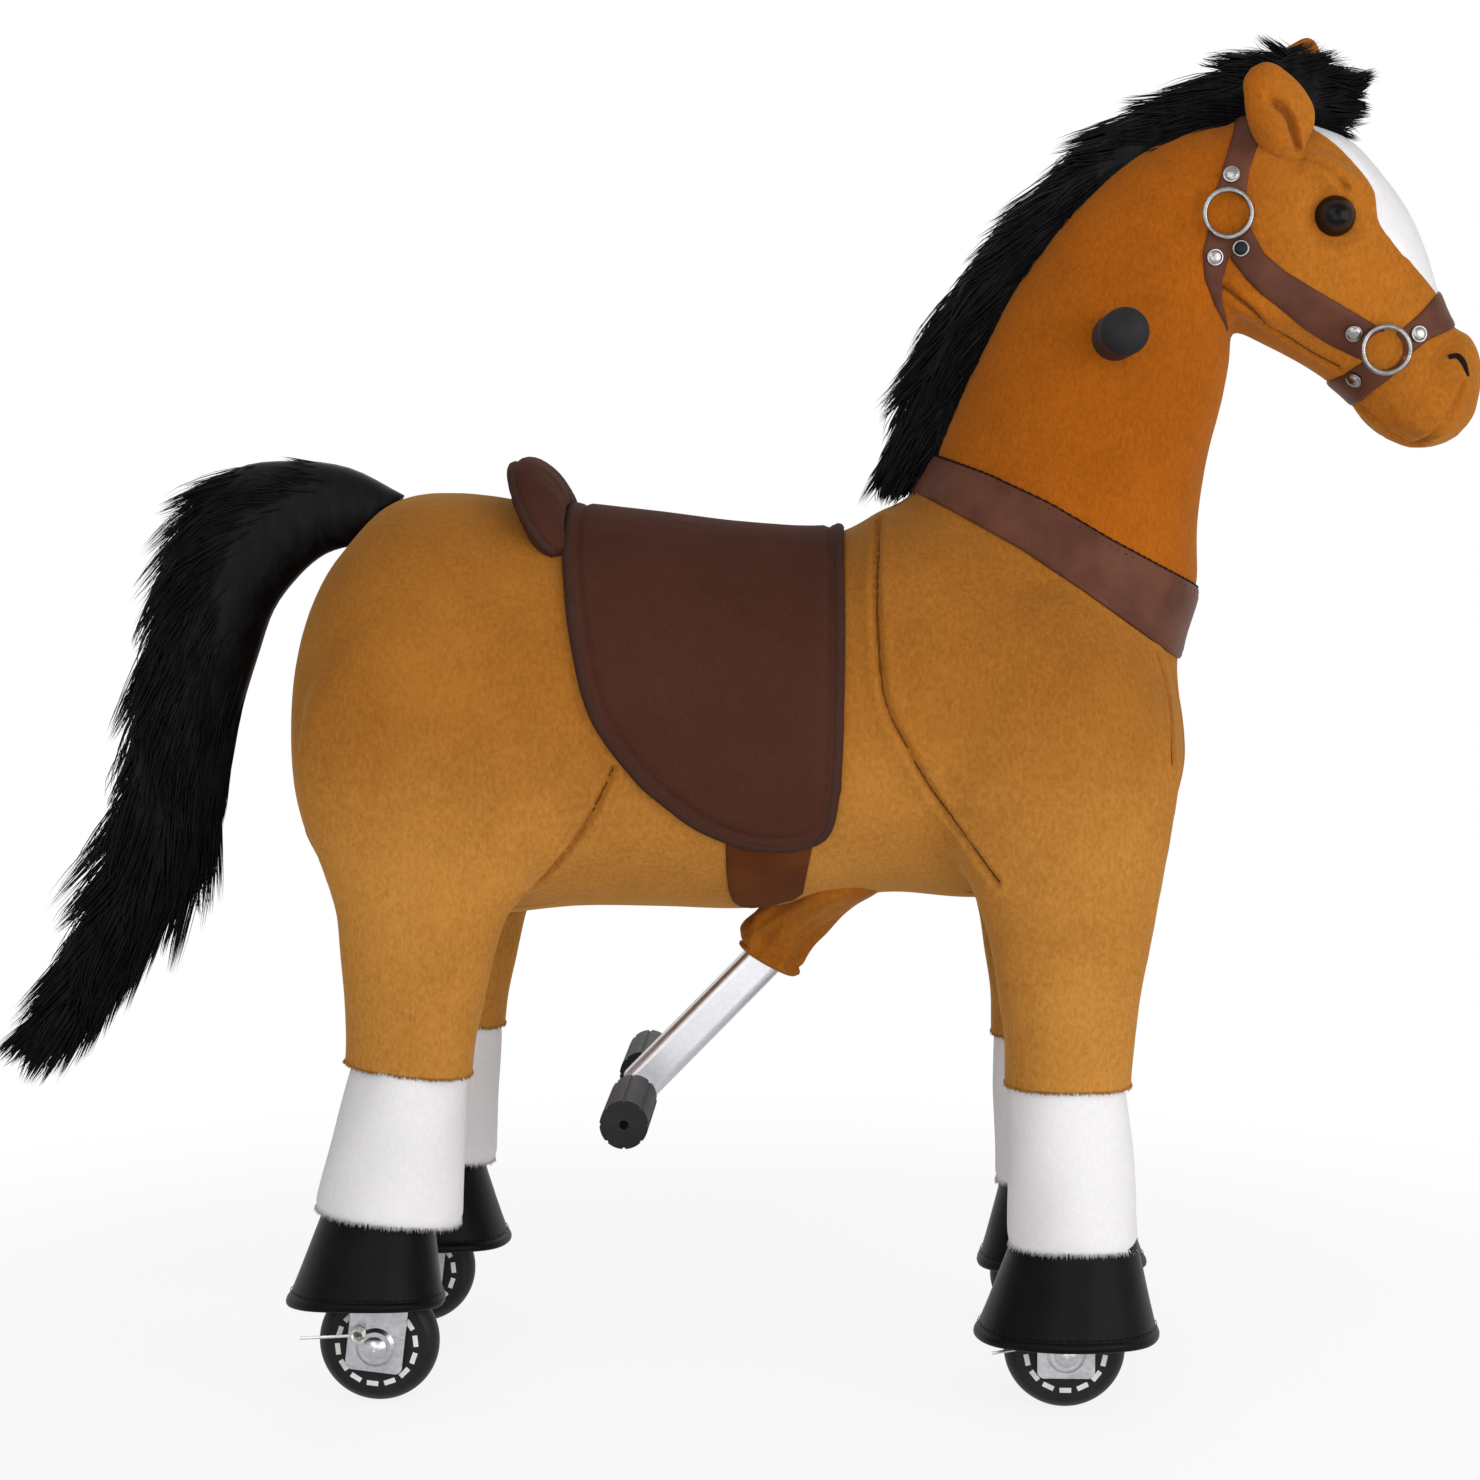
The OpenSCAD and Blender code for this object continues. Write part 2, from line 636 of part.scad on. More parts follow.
// Rows: place, then the slope of the strap along and up the head
rivet_shares = [
    [0.147, 0.876, 0.806, -0.50, 0.28], [0.089, 0.954, 0.577, -0.42, 0.00], [0.179, 0.950, 0.600, -0.23,
    -0.20],
    [0.532, 0.824, 0.379, -0.05, -0.42], [0.751, 0.768, 0.361, 0.17, -0.02], [0.630, 0.680, 0.253, -0.38,
        -0.40]
];
module on_head(s, side) {
    p = on_profile(s[0], s[2]);
    translate([p[0], side * s[1] * head_w / 2, p[1]]) children();
}
module along(n) { rotate([0, acos(n[2] / norm(n)), atan2(n[1], n[0])]) children(); }
module bridle_rings() {
    color(steel) for (s = ring_shares, side = [left, right]) on_head(s, side)
        rotate([90, 0, 0]) rotate_extrude() translate([ring_r, 0]) circle(ring_wire_r, $fn = 24);
}
module bridle_rivets() {
    color(steel) for (s = rivet_shares, side = [left, right]) on_head(s, side) along([s[3], side, s[4]])
        translate([0, 0, -rivet_sink]) intersection() {
            cylinder(r = rivet_r, h = rivet_h);
            translate([0, 0, rivet_h - rivet_dome_r]) sphere(rivet_dome_r);
        }
}

// Handlebar, its grips and the neck post

bar_root = [215, 230];
bar_place = from_hip(bar_root);
post_root = [170, 89];
post_foot = from_hip(post_root);
post_r = 14;
post_wall = 2;
post_over_share = 0.16;
post_flange = [44, 62, 6];
post_run = bar_place - post_foot;
post_l = norm(post_run) * (1 + post_over_share);
post_tilt = atan2(post_run[0], post_run[1]);
bar_wall = 2;
module post_frame() { translate([post_foot[0], 0, post_foot[1]]) rotate([0, post_tilt, 0]) children(); }
module post_room() {
    post_frame() translate([0, 0, -post_flange[2]]) cylinder(r = post_r + loose_fit,
        h = post_l + post_flange[2] + over);
}
module neck_post() {
    color(painted) difference() {
        union() {
            post_frame() cylinder(r = post_r, h = post_l);
            translate([post_foot[0] - post_flange[0] / 2, -post_flange[1] / 2, post_foot[1] - post_flange[2]])
                cube(post_flange);
        }
        post_frame() translate([0, 0, post_flange[2]]) cylinder(r = post_r - post_wall, h = post_l);
        cross_rod(bar_place, bar_d / 2 + run_fit, -post_r - over, post_r + over);
    }
}
module handlebar() {
    color(painted) difference() {
        cross_rod(bar_place, bar_d / 2, -bar_span / 2, bar_span / 2);
        cross_rod(bar_place, bar_d / 2 - bar_wall, -bar_span / 2 - over, bar_span / 2 + over);
    }
}
grip_l = 62;
grip_cap = 6;
grip_dome_share = 0.45;
grip_rib_count = 9;
grip_rib_depth = 0.8;
module hand_grip() {
    dome = grip_d / 2 * grip_dome_share;
    rib_pitch = (grip_l - grip_cap) / grip_rib_count;
    rotate_extrude() difference() {
        union() {
            square([grip_d / 2, grip_l]);
            translate([0, grip_l]) intersection() {
                square([grip_d / 2, dome]);
                translate([0, dome - (grip_d * grip_d / 4 + dome * dome) / (2 * dome)])
                    circle((grip_d * grip_d / 4 + dome * dome) / (2 * dome));
            }
        }
        translate([-over, -over]) square([bar_d / 2 + run_fit + over, grip_l - grip_cap + over]);
        for (k = [1 : grip_rib_count - 1])
            translate([grip_d / 2 - grip_rib_depth, k * rib_pitch]) square([grip_d, grip_rib_depth]);
    }
}
module handlebar_grips() {
    color(rubber) for (side = [left, right])
        translate([bar_place[0], side * (bar_span / 2 + grip_cap - grip_l), bar_place[1]])
            rotate([-side * 90, 0, 0]) hand_grip();
}

// Chassis: two side plates joined by cross tubes, with bearing tubes, a seat plate and a socket for the
// neck post

plate_y = 30;
bearing_y = [20, 46];
bearing_wall = 4;
bush_wall = 3;
bush_flange_t = 1.5;
bush_flange_over = 2.5;
pedal_shaft_r = 9;
plate_end_r = 26;
pedal_plate_r = 20;
stay_r = 8;
seat_post_x = [-60, 62];
seat_post_r = 13;
seat_plate = [180, 100, 5];
seat_plate_x = -95;
seat_plate_rise = 79;
seat_plate_z = hip_z + seat_plate_rise;
socket_plate_r = 20;
rear_stay = [-100, 21];
front_stay = [104, -9];
seat_stay_rise = 57;
stay_places = [from_hip(rear_stay), from_hip(front_stay), [seat_post_x[0], hip_z + seat_stay_rise]];
bush_r_hip = hip_r + run_fit + bush_wall;
bush_r_pedal = pedal_shaft_r + run_fit + bush_wall;
bearing_spots = [
    [xz(rear_pivot), bush_r_hip], [xz(front_pivot), bush_r_hip], [xz(pedal_pivot), bush_r_pedal]
];

module plate_outline() {
    hull() {
        translate(xz(rear_pivot)) circle(plate_end_r);
        translate(xz(front_pivot)) circle(plate_end_r);
    }
    hull() {
        translate(xz(pedal_pivot)) circle(pedal_plate_r);
        translate([pedal_pivot_x, rear_pivot_z]) circle(plate_end_r);
    }
    for (x = seat_post_x) translate([x - seat_post_r, hip_z]) square([2 * seat_post_r, seat_plate_z - hip_z]);
    translate([post_foot[0] - socket_plate_r, hip_z])
        square([2 * socket_plate_r, post_foot[1] - post_flange[2] - hip_z]);
}

bridge_t = 4;
module main_frame() {
    color(painted) difference() {
        union() {
            for (side = [left, right])
                translate([0, side > 0 ? plate_y + plate_t : -plate_y, 0]) rotate([90, 0, 0])
                    linear_extrude(plate_t) plate_outline();
            for (b = bearing_spots, side = [left, right])
                cross_rod(b[0], b[1] + bearing_wall, side > 0 ? bearing_y[0] : -bearing_y[1],
                    side > 0 ? bearing_y[1] : -bearing_y[0]);
            for (s = stay_places) cross_rod(s, stay_r, -plate_y - plate_t / 2, plate_y + plate_t / 2);
            translate([seat_plate_x, -seat_plate[1] / 2, seat_plate_z]) cube(seat_plate);
            translate([post_foot[0] - socket_plate_r, -plate_y - plate_t,
                post_foot[1] - post_flange[2] - bridge_t])
                cube([2 * socket_plate_r, 2 * (plate_y + plate_t), bridge_t]);
        }
        for (b = bearing_spots) cross_rod(b[0], b[1], -bearing_y[1] - over, bearing_y[1] + over);
    }
}

// Flanged bushes in the bearing tubes
module bush(inner_r, outer_r, l) {
    difference() {
        union() {
            cylinder(r = outer_r, h = l);
            translate([0, 0, l]) cylinder(r = outer_r + bush_flange_over, h = bush_flange_t);
        }
        translate([0, 0, -over]) cylinder(r = inner_r, h = l + bush_flange_t + 2 * over);
    }
}
module pivot_bushes() {
    l = bearing_y[1] - bearing_y[0];
    color("ivory") for (b = bearing_spots, side = [left, right])
        translate([b[0][0], side * bearing_y[0], b[0][1]]) rotate([-side * 90, 0, 0])
            bush(b[1] - bush_wall, b[1], l);
}

// Torsion springs that draw the legs back under the body
spring_wire_r = 1.9;
spring_coil_r = 15.5;
spring_turns = 2.5;
spring_pitch = 4.6;
spring_steps = 8;
spring_sides = 6;
spring_first_y = 6.5;
function spring_path() = [for (i = [0 : spring_turns * spring_steps])
    let (a = 360 * i / spring_steps) [spring_coil_r * cos(a), spring_coil_r * sin(a),
        spring_pitch * i / spring_steps]];
function wire_rings(path, r, n) = [for (i = [0 : len(path) - 1])
    let (d = path[min(i + 1, len(path) - 1)] - path[max(i - 1, 0)], w = d / norm(d),
        side = abs(w[2]) > 0.9 ? [1, 0, 0] : [0, 0, 1], u = cross(side, w) / norm(cross(side, w)),
            v = cross(w, u))
    ring(path[i], u * r, v * r, n, 2)];
module torsion_spring() { skin(wire_rings(spring_path(), spring_wire_r, spring_sides)); }
// Least distance between turns of the wire, which has to stay open
echo(spring_gap = spring_pitch - 2 * spring_wire_r);
module return_springs() {
    color(steel) {
        translate([front_pivot_x, -spring_first_y, hip_z]) rotate([90, 0, 0]) torsion_spring();
        translate([rear_pivot_x, spring_first_y, rear_pivot_z]) rotate([-90, 0, 0]) torsion_spring();
    }
}

// Cranks, tie rods and the foot lever

front_pin_r = 40;
rear_pin_r = 25;
front_crank_l = front_pin_r * pedal_swing / front_swing;
rear_crank_l = rear_pin_r * pedal_swing / rear_swing;
crank_half_t = 4;
crank_eye_r = 9;
crank_root_r = 17;
link_pin_r = 4;
link_half_h = 6;
link_y = [4.6, 11];
link_head_r = 6.5;
link_head_t = 2;
link_open_gap = 1.3;
function polar(p, l, a) = [p[0] + l * sin(a), p[2] + l * cos(a)];
front_crank_tip = polar(front_pivot, front_crank_l, front_swing / 2);
rear_crank_tip = polar(rear_pivot, rear_crank_l, 180 - rear_swing / 2);
front_arm_tip = polar(pedal_pivot, front_pin_r, pedal_swing / 2);
rear_arm_tip = polar(pedal_pivot, rear_pin_r, pedal_swing / 2);

// Pin that stands out of a crank on one side, with a retaining head
module link_pin(at, side) {
    far = link_y[1] + loose_fit;
    cross_rod(at, link_pin_r, side > 0 ? 0 : -far - link_head_t, side > 0 ? far + link_head_t : 0);
    cross_rod(at, link_head_r, side > 0 ? far : -far - link_head_t, side > 0 ? far + link_head_t : -far);
}
module crank(root, tip, side) {
    flat_link(root, tip, crank_root_r, crank_eye_r, -crank_half_t, crank_half_t);
    link_pin(tip, side);
}
// Height that the arm's pin gains on the rod at mid travel, which the slotted eye takes up
function bow(l, swing) = l * (1 - cos(swing / 2));
front_slot = [0, bow(front_pin_r, pedal_swing) - bow(front_crank_l, front_swing)];
rear_slot = [0, bow(rear_pin_r, pedal_swing) + bow(rear_crank_l, rear_swing)];
// Tie rod with a close eye on the crank and a slotted eye on the lever's arm
module tie_rod(tip, arm, slot, side) {
    y0 = side > 0 ? link_y[0] : -link_y[1];
    y1 = side > 0 ? link_y[1] : -link_y[0];
    difference() {
        union() {
            flat_link(tip, arm, link_half_h, link_half_h, y0, y1);
            cross_rod(tip, crank_eye_r, y0, y1);
            flat_link(arm, arm + slot, crank_eye_r, crank_eye_r, y0, y1);
        }
        cross_rod(tip, link_pin_r + run_fit, y0 - over, y1 + over);
        flat_link(arm, arm + slot, link_pin_r + link_open_gap, link_pin_r + link_open_gap, y0 - over,
            y1 + over);
    }
}
module front_tie_rod() { color(steel) tie_rod(front_crank_tip, front_arm_tip, front_slot, left); }
module rear_tie_rod() { color(steel) tie_rod(rear_crank_tip, rear_arm_tip, rear_slot, right); }

elbow_run = [102, -41];
lever_run = [-115, -118];
lever_elbow = xz(pedal_pivot) + elbow_run;
lever_foot = lever_elbow + lever_run;
lever_half_y = 12;
lever_corner_r = 5;
lever_wall = 2;
lever_arm_r = 13;
foot_bar_r = 9;
foot_grip_l = 78;
foot_grip_hole_r = 2.6;
foot_flute_count = 8;
foot_flute_r = 0.9;
lever_l = norm(lever_run);
lever_turn = atan2(-lever_run[0], -lever_run[1]);
// Rounded rectangle of the lever tube
module lever_section(inset) {
    w = lever_w / 2 - inset;
    h = lever_half_y - inset;
    r = max(lever_corner_r - inset, lever_wall / 2);
    union() {
        square([2 * (w - r), 2 * h], center = true);
        square([2 * w, 2 * (h - r)], center = true);
        for (x = [-1, 1], y = [-1, 1]) translate([x * (w - r), y * (h - r)]) circle(r);
    }
}
module lever_frame() { translate([lever_elbow[0], 0, lever_elbow[1]]) rotate([0, lever_turn, 0]) children(); }
module pedal_lever() {
    color(steel) difference() {
        union() {
            lever_frame() translate([0, 0, -lever_l]) linear_extrude(lever_l) lever_section(0);
            cross_rod(lever_foot, foot_bar_r, -pedal_span / 2 + lever_wall, pedal_span / 2 - lever_wall);
            cross_rod(xz(pedal_pivot), pedal_shaft_r, -bearing_y[1] - loose_fit, bearing_y[1] + loose_fit);
            flat_link(xz(pedal_pivot), lever_elbow, crank_root_r, lever_arm_r, -crank_half_t, crank_half_t);
            flat_link(xz(pedal_pivot), front_arm_tip, crank_root_r, crank_eye_r, -crank_half_t, crank_half_t);
            link_pin(front_arm_tip, left);
            link_pin(rear_arm_tip, right);
        }
        lever_frame() translate([0, 0,
            -lever_l]) linear_extrude(lever_l - lever_wall) lever_section(lever_wall);
        cross_rod(lever_foot, foot_bar_r - lever_wall, -pedal_span, pedal_span);
    }
}
module foot_grip() {
    difference() {
        cylinder(r = pedal_grip_d / 2, h = foot_grip_l);
        translate([0, 0, -over]) cylinder(r = foot_bar_r + run_fit, h = foot_grip_l - lever_wall + over);
        cylinder(r = foot_grip_hole_r, h = foot_grip_l + over);
        for (k = [0 : foot_flute_count - 1]) rotate(360 * k / foot_flute_count)
            translate([pedal_grip_d / 2, 0, -over]) cylinder(r = foot_flute_r, h = foot_grip_l + 2 * over);
    }
}
module pedal_grips() {
    color(rubber) for (side = [left, right])
        translate([lever_foot[0], side * (pedal_span / 2 - foot_grip_l), lever_foot[1]])
            rotate([-side * 90, 0, 0]) foot_grip();
}

// Cloth boot between the belly and the lever
boot_wall = 3;
boot_sides = 16;
boot_e = 2.4;
// Rows: rear x and z and front x and z from the elbow in shares of lever_w, half width in shares of the
// slot's
boot_shares = [
    [-2.73, -1.55, -0.86, -2.36, 0.905], [-2.55, -1.05, 0.18, -1.18, 0.95], [-2.36, -0.23, 1.23, 0.09, 1.00]
];
boot_half = slot_half - loose_fit;
function boot_rings(inset) = [for (r = boot_shares) pair_ring(
    lever_elbow + [r[0], r[1]] * lever_w, lever_elbow + [r[2], r[3]] * lever_w,
    r[4] * boot_half, boot_sides, boot_e, -inset)];
module pedal_boot() { color(plush) sleeve(boot_rings(0), boot_rings(boot_wall)); }

// Legs, built hanging from the hip at the origin

fork_gap = 5;
fork_t = 2.5;
fork_w = 32;
fork_below = 14;
fork_clear = 2.5;
fork_inner_half = wheel_w / 2 + fork_clear;
fork_corner_r = 4;
fork_boss_r = 9;
fork_boss_h = 2;
fork_crown_z = -leg_l + wheel_r + fork_gap;
tube_foot_z = fork_crown_z + fork_t;
tube_cap = 4;
tube_head_z = hip_r + tube_cap;
tube_r = leg_tube_d / 2;
tube_wall = 2;

module leg_frame() {
    difference() {
        union() {
            for (s = [left, right]) on_side(s) translate([0, 0, tube_foot_z])
                cylinder(r = tube_r, h = tube_head_z - tube_foot_z);
            cross_rod([0, 0], hip_r, -leg_y, leg_y);
        }
        for (s = [left, right]) on_side(s) translate([0, 0, tube_foot_z - over])
            cylinder(r = tube_r - tube_wall, h = tube_head_z - tube_foot_z - tube_wall + over);
        cross_rod([0, 0], hip_r - tube_wall, -leg_y, leg_y);
    }
}
module front_leg_frame() {
    color(painted) union() {
        at_front() leg_frame();
        crank(xz(front_pivot), front_crank_tip, left);
    }
}
module rear_leg_frame() {
    color(painted) union() {
        at_rear() leg_frame();
        crank(xz(rear_pivot), rear_crank_tip, right);
    }
}

// Pressed steel fork over a wheel, with a dished boss round the axle
module fork_plate_outline() {
    low = -leg_l - fork_below;
    union() {
        translate([-fork_w / 2, low + fork_corner_r]) square([fork_w, tube_foot_z - low - fork_corner_r]);
        translate([-fork_w / 2 + fork_corner_r, low]) square([fork_w - 2 * fork_corner_r,
            fork_corner_r + over]);
        for (x = [-1, 1]) translate([x * (fork_w / 2 - fork_corner_r),
            low + fork_corner_r]) circle(fork_corner_r);
    }
}
pawl_hole_r = 2.2;
pawl_in = 6;
pawl_up = 7;
pawl_place = [-fork_w / 2 + pawl_in, -leg_l + pawl_up];
module fork() {
    difference() {
        union() {
            for (side = [left, right]) {
                translate([0, side > 0 ? fork_inner_half + fork_t : -fork_inner_half, 0]) rotate([90, 0, 0])
                    linear_extrude(fork_t) fork_plate_outline();
                translate([0, side * (fork_inner_half + fork_t), -leg_l]) rotate([-side * 90, 0, 0])
                    cylinder(r1 = fork_boss_r + fork_boss_h, r2 = fork_boss_r, h = fork_boss_h);
            }
            translate([-fork_w / 2, -fork_inner_half - fork_t, fork_crown_z])
                cube([fork_w, 2 * (fork_inner_half + fork_t), fork_t]);
        }
        cross_rod([0, -leg_l], axle_d / 2 + run_fit, -leg_y, leg_y);
        cross_rod(pawl_place, pawl_hole_r, -leg_y, leg_y);
    }
}
module forks() { color(steel) for (s = [left, right]) on_side(s) fork(); }

// Axle bolt with a domed head outside and a nut inside
bolt_head_r = 6.8;
bolt_head_h = 4.5;
bolt_dome_share = 1.35;
bolt_dome_r = bolt_head_r * bolt_dome_share;
bolt_tip = 1;
nut_r = 7;
nut_h = 6;
module axle_bolt(side) {
    seat = fork_inner_half + fork_t + fork_boss_h;
    translate([0, 0, -leg_l]) rotate([-side * 90, 0, 0]) {
        translate([0, 0, -seat - nut_h - bolt_tip]) cylinder(r = axle_d / 2, h = 2 * seat + nut_h + bolt_tip);
        translate([0, 0, seat]) intersection() {
            cylinder(r = bolt_head_r, h = bolt_head_h);
            translate([0, 0, bolt_head_h - bolt_dome_r]) sphere(bolt_dome_r);
        }
        translate([0, 0, -seat - nut_h]) cylinder(r = nut_r, h = nut_h, $fn = 6);
    }
}
module axle_bolts() { color(steel) for (s = [left, right]) on_side(s) axle_bolt(s); }

// Wire spring that works the one-way pawl: a coil on the fork's face with a tail past the tread
pawl_wire_r = 0.9;
pawl_coil_r = 3.6;
pawl_turns = 2.5;
pawl_pitch = 2.4;
pawl_steps = 8;
pawl_tail_l = 28;
pawl_tail_drop = 5;
pawl_sides = 6;
function pawl_path() = concat(
    [for (i = [0 : pawl_turns * pawl_steps]) let (a = 360 * i / pawl_steps)
        [pawl_coil_r * cos(a), pawl_pitch * i / pawl_steps, pawl_coil_r * sin(a)]],
    [[-pawl_coil_r - pawl_tail_l / 2, pawl_pitch * pawl_turns, -pawl_tail_drop / 2],
        [-pawl_coil_r - pawl_tail_l, pawl_pitch * pawl_turns, -pawl_tail_drop]]);
module pawl_spring(side) {
    translate([pawl_place[0], side * (fork_inner_half + fork_t + pawl_wire_r + loose_fit), pawl_place[1]])
        mirror([0, side > 0 ? 0 : 1, 0]) skin(wire_rings(pawl_path(), pawl_wire_r, pawl_sides));
}
module pawl_springs() { color(steel) for (s = [left, right]) on_side(s) pawl_spring(s); }

// Upper leg: a stuffed thigh that tapers to the sock
hoof_lift = 58;
sock_h = 92;
sock_foot_z = hoof_lift - leg_l;
sock_top_z = sock_foot_z + sock_h;
// The hind sock is a little shorter and wider, and its hoof leaves more of the fork and wheel open to view
hind_hoof_rise = 15;
hind_sock_rise = 8;
hind_sock_foot_r = 38.5;
thigh_half = 83;
thigh_half_y = 31;
thigh_sides = 20;
thigh_e = 2.3;
// The shoulder sits further back and is slimmer than the haunch
shoulder_shift = -10;
shoulder_fullness = 0.92;
haunch_shift = 0;
haunch_fullness = 1.02;
// Rows: share of thigh_half from the hip, of thigh_half, of thigh_half_y, of the shift and fullness
thigh_shares = [
    [1.035, 0.10, 0.30, 1.0], [0.963, 0.39, 0.66, 1.0], [0.746, 0.70, 0.88, 1.0], [0.421, 0.915, 0.98, 1.0],
    [0.000, 1.000, 1.00, 1.0], [-0.361, 0.940, 1.00, 0.9], [-0.662, 0.785, 1.00, 0.6], [-0.963, 0.615,
        1.00, 0.3]
];
// Rows: share of the run from the thigh to the sock, then as above
shank_shares = [[0.291, 0.520, 1.00, 0.1], [0.631, 0.450, 1.02, 0.0]];
shank_top_z = thigh_shares[len(thigh_shares) - 1][0] * thigh_half;
function leg_rows(foot_z) = concat(
    [for (s = thigh_shares) [s[0] * thigh_half, s[1], s[2], s[3]]],
    [for (s = shank_shares) [shank_top_z + (foot_z - shank_top_z) * s[0], s[1], s[2], s[3]]]);
function thigh_ring(z, hx, hy, x = 0) = ring([x, 0, z], [hx, 0, 0], [0, hy, 0], thigh_sides, thigh_e);
// The hip bore leaves the outer half of the thigh closed
module leg_on(side, shift, fullness, foot_z = sock_top_z) {
    rows = leg_rows(foot_z);
    color(plush) on_side(side) difference() {
        skin(concat(
            [thigh_ring(foot_z, sock_top_r, sock_top_r)],
            [for (i = [len(rows) - 1 : -1 : 0]) let (s = rows[i])
                thigh_ring(s[0], s[1] * thigh_half * (1 + (fullness - 1) * s[3]), s[2] * thigh_half_y,
                    shift * s[3])]));
        translate([0, 0, foot_z - over])
            cylinder(r = tube_r + loose_fit, h = tube_head_z + loose_fit + over - foot_z);
        cross_rod([0, 0], hip_r + loose_fit, side > 0 ? -leg_y : 0, side > 0 ? 0 : leg_y);
    }
}

module hind_leg(side) { leg_on(side, haunch_shift, haunch_fullness, sock_top_z + hind_sock_rise); }

// Sock: a white fur cuff that swells over the top of the hoof
sock_top_r = 33;
sock_mid_r = 35.5;
sock_foot_r = 35;
sock_round = 5;
module sock(side, foot_r = sock_foot_r, foot_rise = 0, top_rise = 0) {
    h = sock_h + top_rise - foot_rise;
    bore = tube_r + loose_fit;
    swell = max(sock_mid_r - foot_r, 0);
    foot_z = sock_foot_z + foot_rise;
    flat_r = foot_r - sock_round;
    color(white_plush) on_side(side) translate([0, 0, foot_z]) rotate_extrude() polygon(concat(
        [[bore, 0], [flat_r, 0]],
        [for (a = [15 : 15 : 90]) [flat_r + sock_round * sin(a), sock_round - sock_round * cos(a)]],
        [for (k = [1 : 5]) let (f = k / 6) [foot_r + (sock_top_r - foot_r) * f + swell * sin(180 * f),
            sock_round + (h - sock_round) * f]],
        [[sock_top_r, h], [bore, h]]));
}
module hind_sock(side) { sock(side, hind_sock_foot_r, hind_hoof_rise, hind_sock_rise); }

// Hoof: a flared vinyl bell, open below, with a rolled hem
hoof_top_r = 33;
hoof_foot_r = 46;
hoof_h = 52;
hoof_wall = 2.5;
hoof_hem_r = 1.6;
module hoof(side, rise = 0) {
    color(vinyl) on_side(side) translate([0, 0, sock_foot_z + rise - hoof_h]) rotate_extrude() union() {
        polygon([
            [hoof_foot_r - hoof_wall, 0], [hoof_foot_r, 0], [hoof_top_r, hoof_h], [tube_r + loose_fit,
                hoof_h],
            [tube_r + loose_fit, hoof_h - hoof_wall], [hoof_top_r - hoof_wall, hoof_h - hoof_wall]
        ]);
        translate([hoof_foot_r - hoof_hem_r / 2, hoof_hem_r]) circle(hoof_hem_r, $fn = 24);
    }
}

// Wheel: a tyre moulded over a flanged hub whose lugs show in its sides, on two bearings

hub_flange_r = 25;
hub_flange_half = 8.5;
hub_sleeve_r = 15.5;
bearing_r = 11;
bearing_w = 7;
bearing_lip_r = 9;
lug_r = 22;
lug_l = 6.5;
lug_w = 2.8;
tyre_shoulder = 6;
module wheel_place(x_sign, side) {
    if (x_sign > 0) at_front() on_side(side) translate([0, 0, -leg_l]) children();
    else at_rear() on_side(side) translate([0, 0, -leg_l]) children();
}
module lugs(y0, y1, gap) {
    for (k = [0 : lug_count - 1]) rotate([0, 360 * k / lug_count, 0])
        translate([-lug_l / 2 - gap, y0, lug_r - lug_w / 2 - gap]) cube([lug_l + 2 * gap, y1 - y0,
            lug_w + 2 * gap]);
}
// Half profile of the tyre: radius and half width
module tyre_profile() {
    half = wheel_w / 2;
    intersection() {
        translate([0, -half]) square([wheel_r, wheel_w]);
        union() {
            translate([0, -half]) square([wheel_r - tyre_shoulder, wheel_w]);
            translate([wheel_r - half, 0]) circle(half);
            translate([0, -half + tyre_shoulder]) square([wheel_r - tyre_shoulder / 2,
                wheel_w - 2 * tyre_shoulder]);
        }
    }
}
module hub_flange(gap) {
    rotate([90, 0, 0]) translate([0, 0, -hub_flange_half - gap]) cylinder(r = hub_flange_r + gap,
        h = 2 * (hub_flange_half + gap));
}
module tyre(x_sign, side) {
    half = wheel_w / 2;
    color(rubber) wheel_place(x_sign, side) difference() {
        rotate([90, 0, 0]) rotate_extrude() tyre_profile();
        cross_rod([0, 0], hub_sleeve_r, -half - over, half + over);
        hub_flange(0);
        lugs(-half - over, half + over, 0);
    }
}
module hub(x_sign, side) {
    half = wheel_w / 2;
    color(lug_white) wheel_place(x_sign, side) difference() {
        union() {
            cross_rod([0, 0], hub_sleeve_r, -half, half);
            hub_flange(0);
            lugs(-half, half, 0);
        }
        cross_rod([0, 0], bearing_lip_r, -half - over, half + over);
        cross_rod([0, 0], bearing_r, half - bearing_w, half + over);
        cross_rod([0, 0], bearing_r, -half - over, -half + bearing_w);
    }
}
module wheel_bearings(x_sign, side) {
    half = wheel_w / 2;
    color(steel) wheel_place(x_sign, side) for (s = [left, right]) difference() {
        cross_rod([0, 0], bearing_r, s > 0 ? half - bearing_w : -half, s > 0 ? half : -half + bearing_w);
        cross_rod([0, 0], axle_d / 2 + run_fit, -half - over, half + over);
    }
}

main_frame();
pivot_bushes();
return_springs();
neck_post();
handlebar();
handlebar_grips();
trunk();
belly_panel();
pedal_boot();
neck();
head();
ears();
eyes();
mane();
forelock();
tail();
saddle();
cantle();
girth_tabs();
breast_collar();
headstall();
noseband();
bridle_rings();
bridle_rivets();
front_leg_frame();
at_front() forks();  // front_forks
at_front() axle_bolts();  // front_axle_bolts
at_front() pawl_springs();  // front_pawl_springs
at_front() leg_on(left, shoulder_shift, shoulder_fullness);  // front_leg_left
at_front() leg_on(right, shoulder_shift, shoulder_fullness);  // front_leg_right
at_front() sock(left);  // front_sock_left
at_front() sock(right);  // front_sock_right
at_front() hoof(left);  // front_hoof_left
at_front() hoof(right);  // front_hoof_right
rear_leg_frame();
at_rear() forks();  // rear_forks
at_rear() axle_bolts();  // rear_axle_bolts
at_rear() pawl_springs();  // rear_pawl_springs
at_rear() hind_leg(left);  // rear_leg_left
at_rear() hind_leg(right);  // rear_leg_right
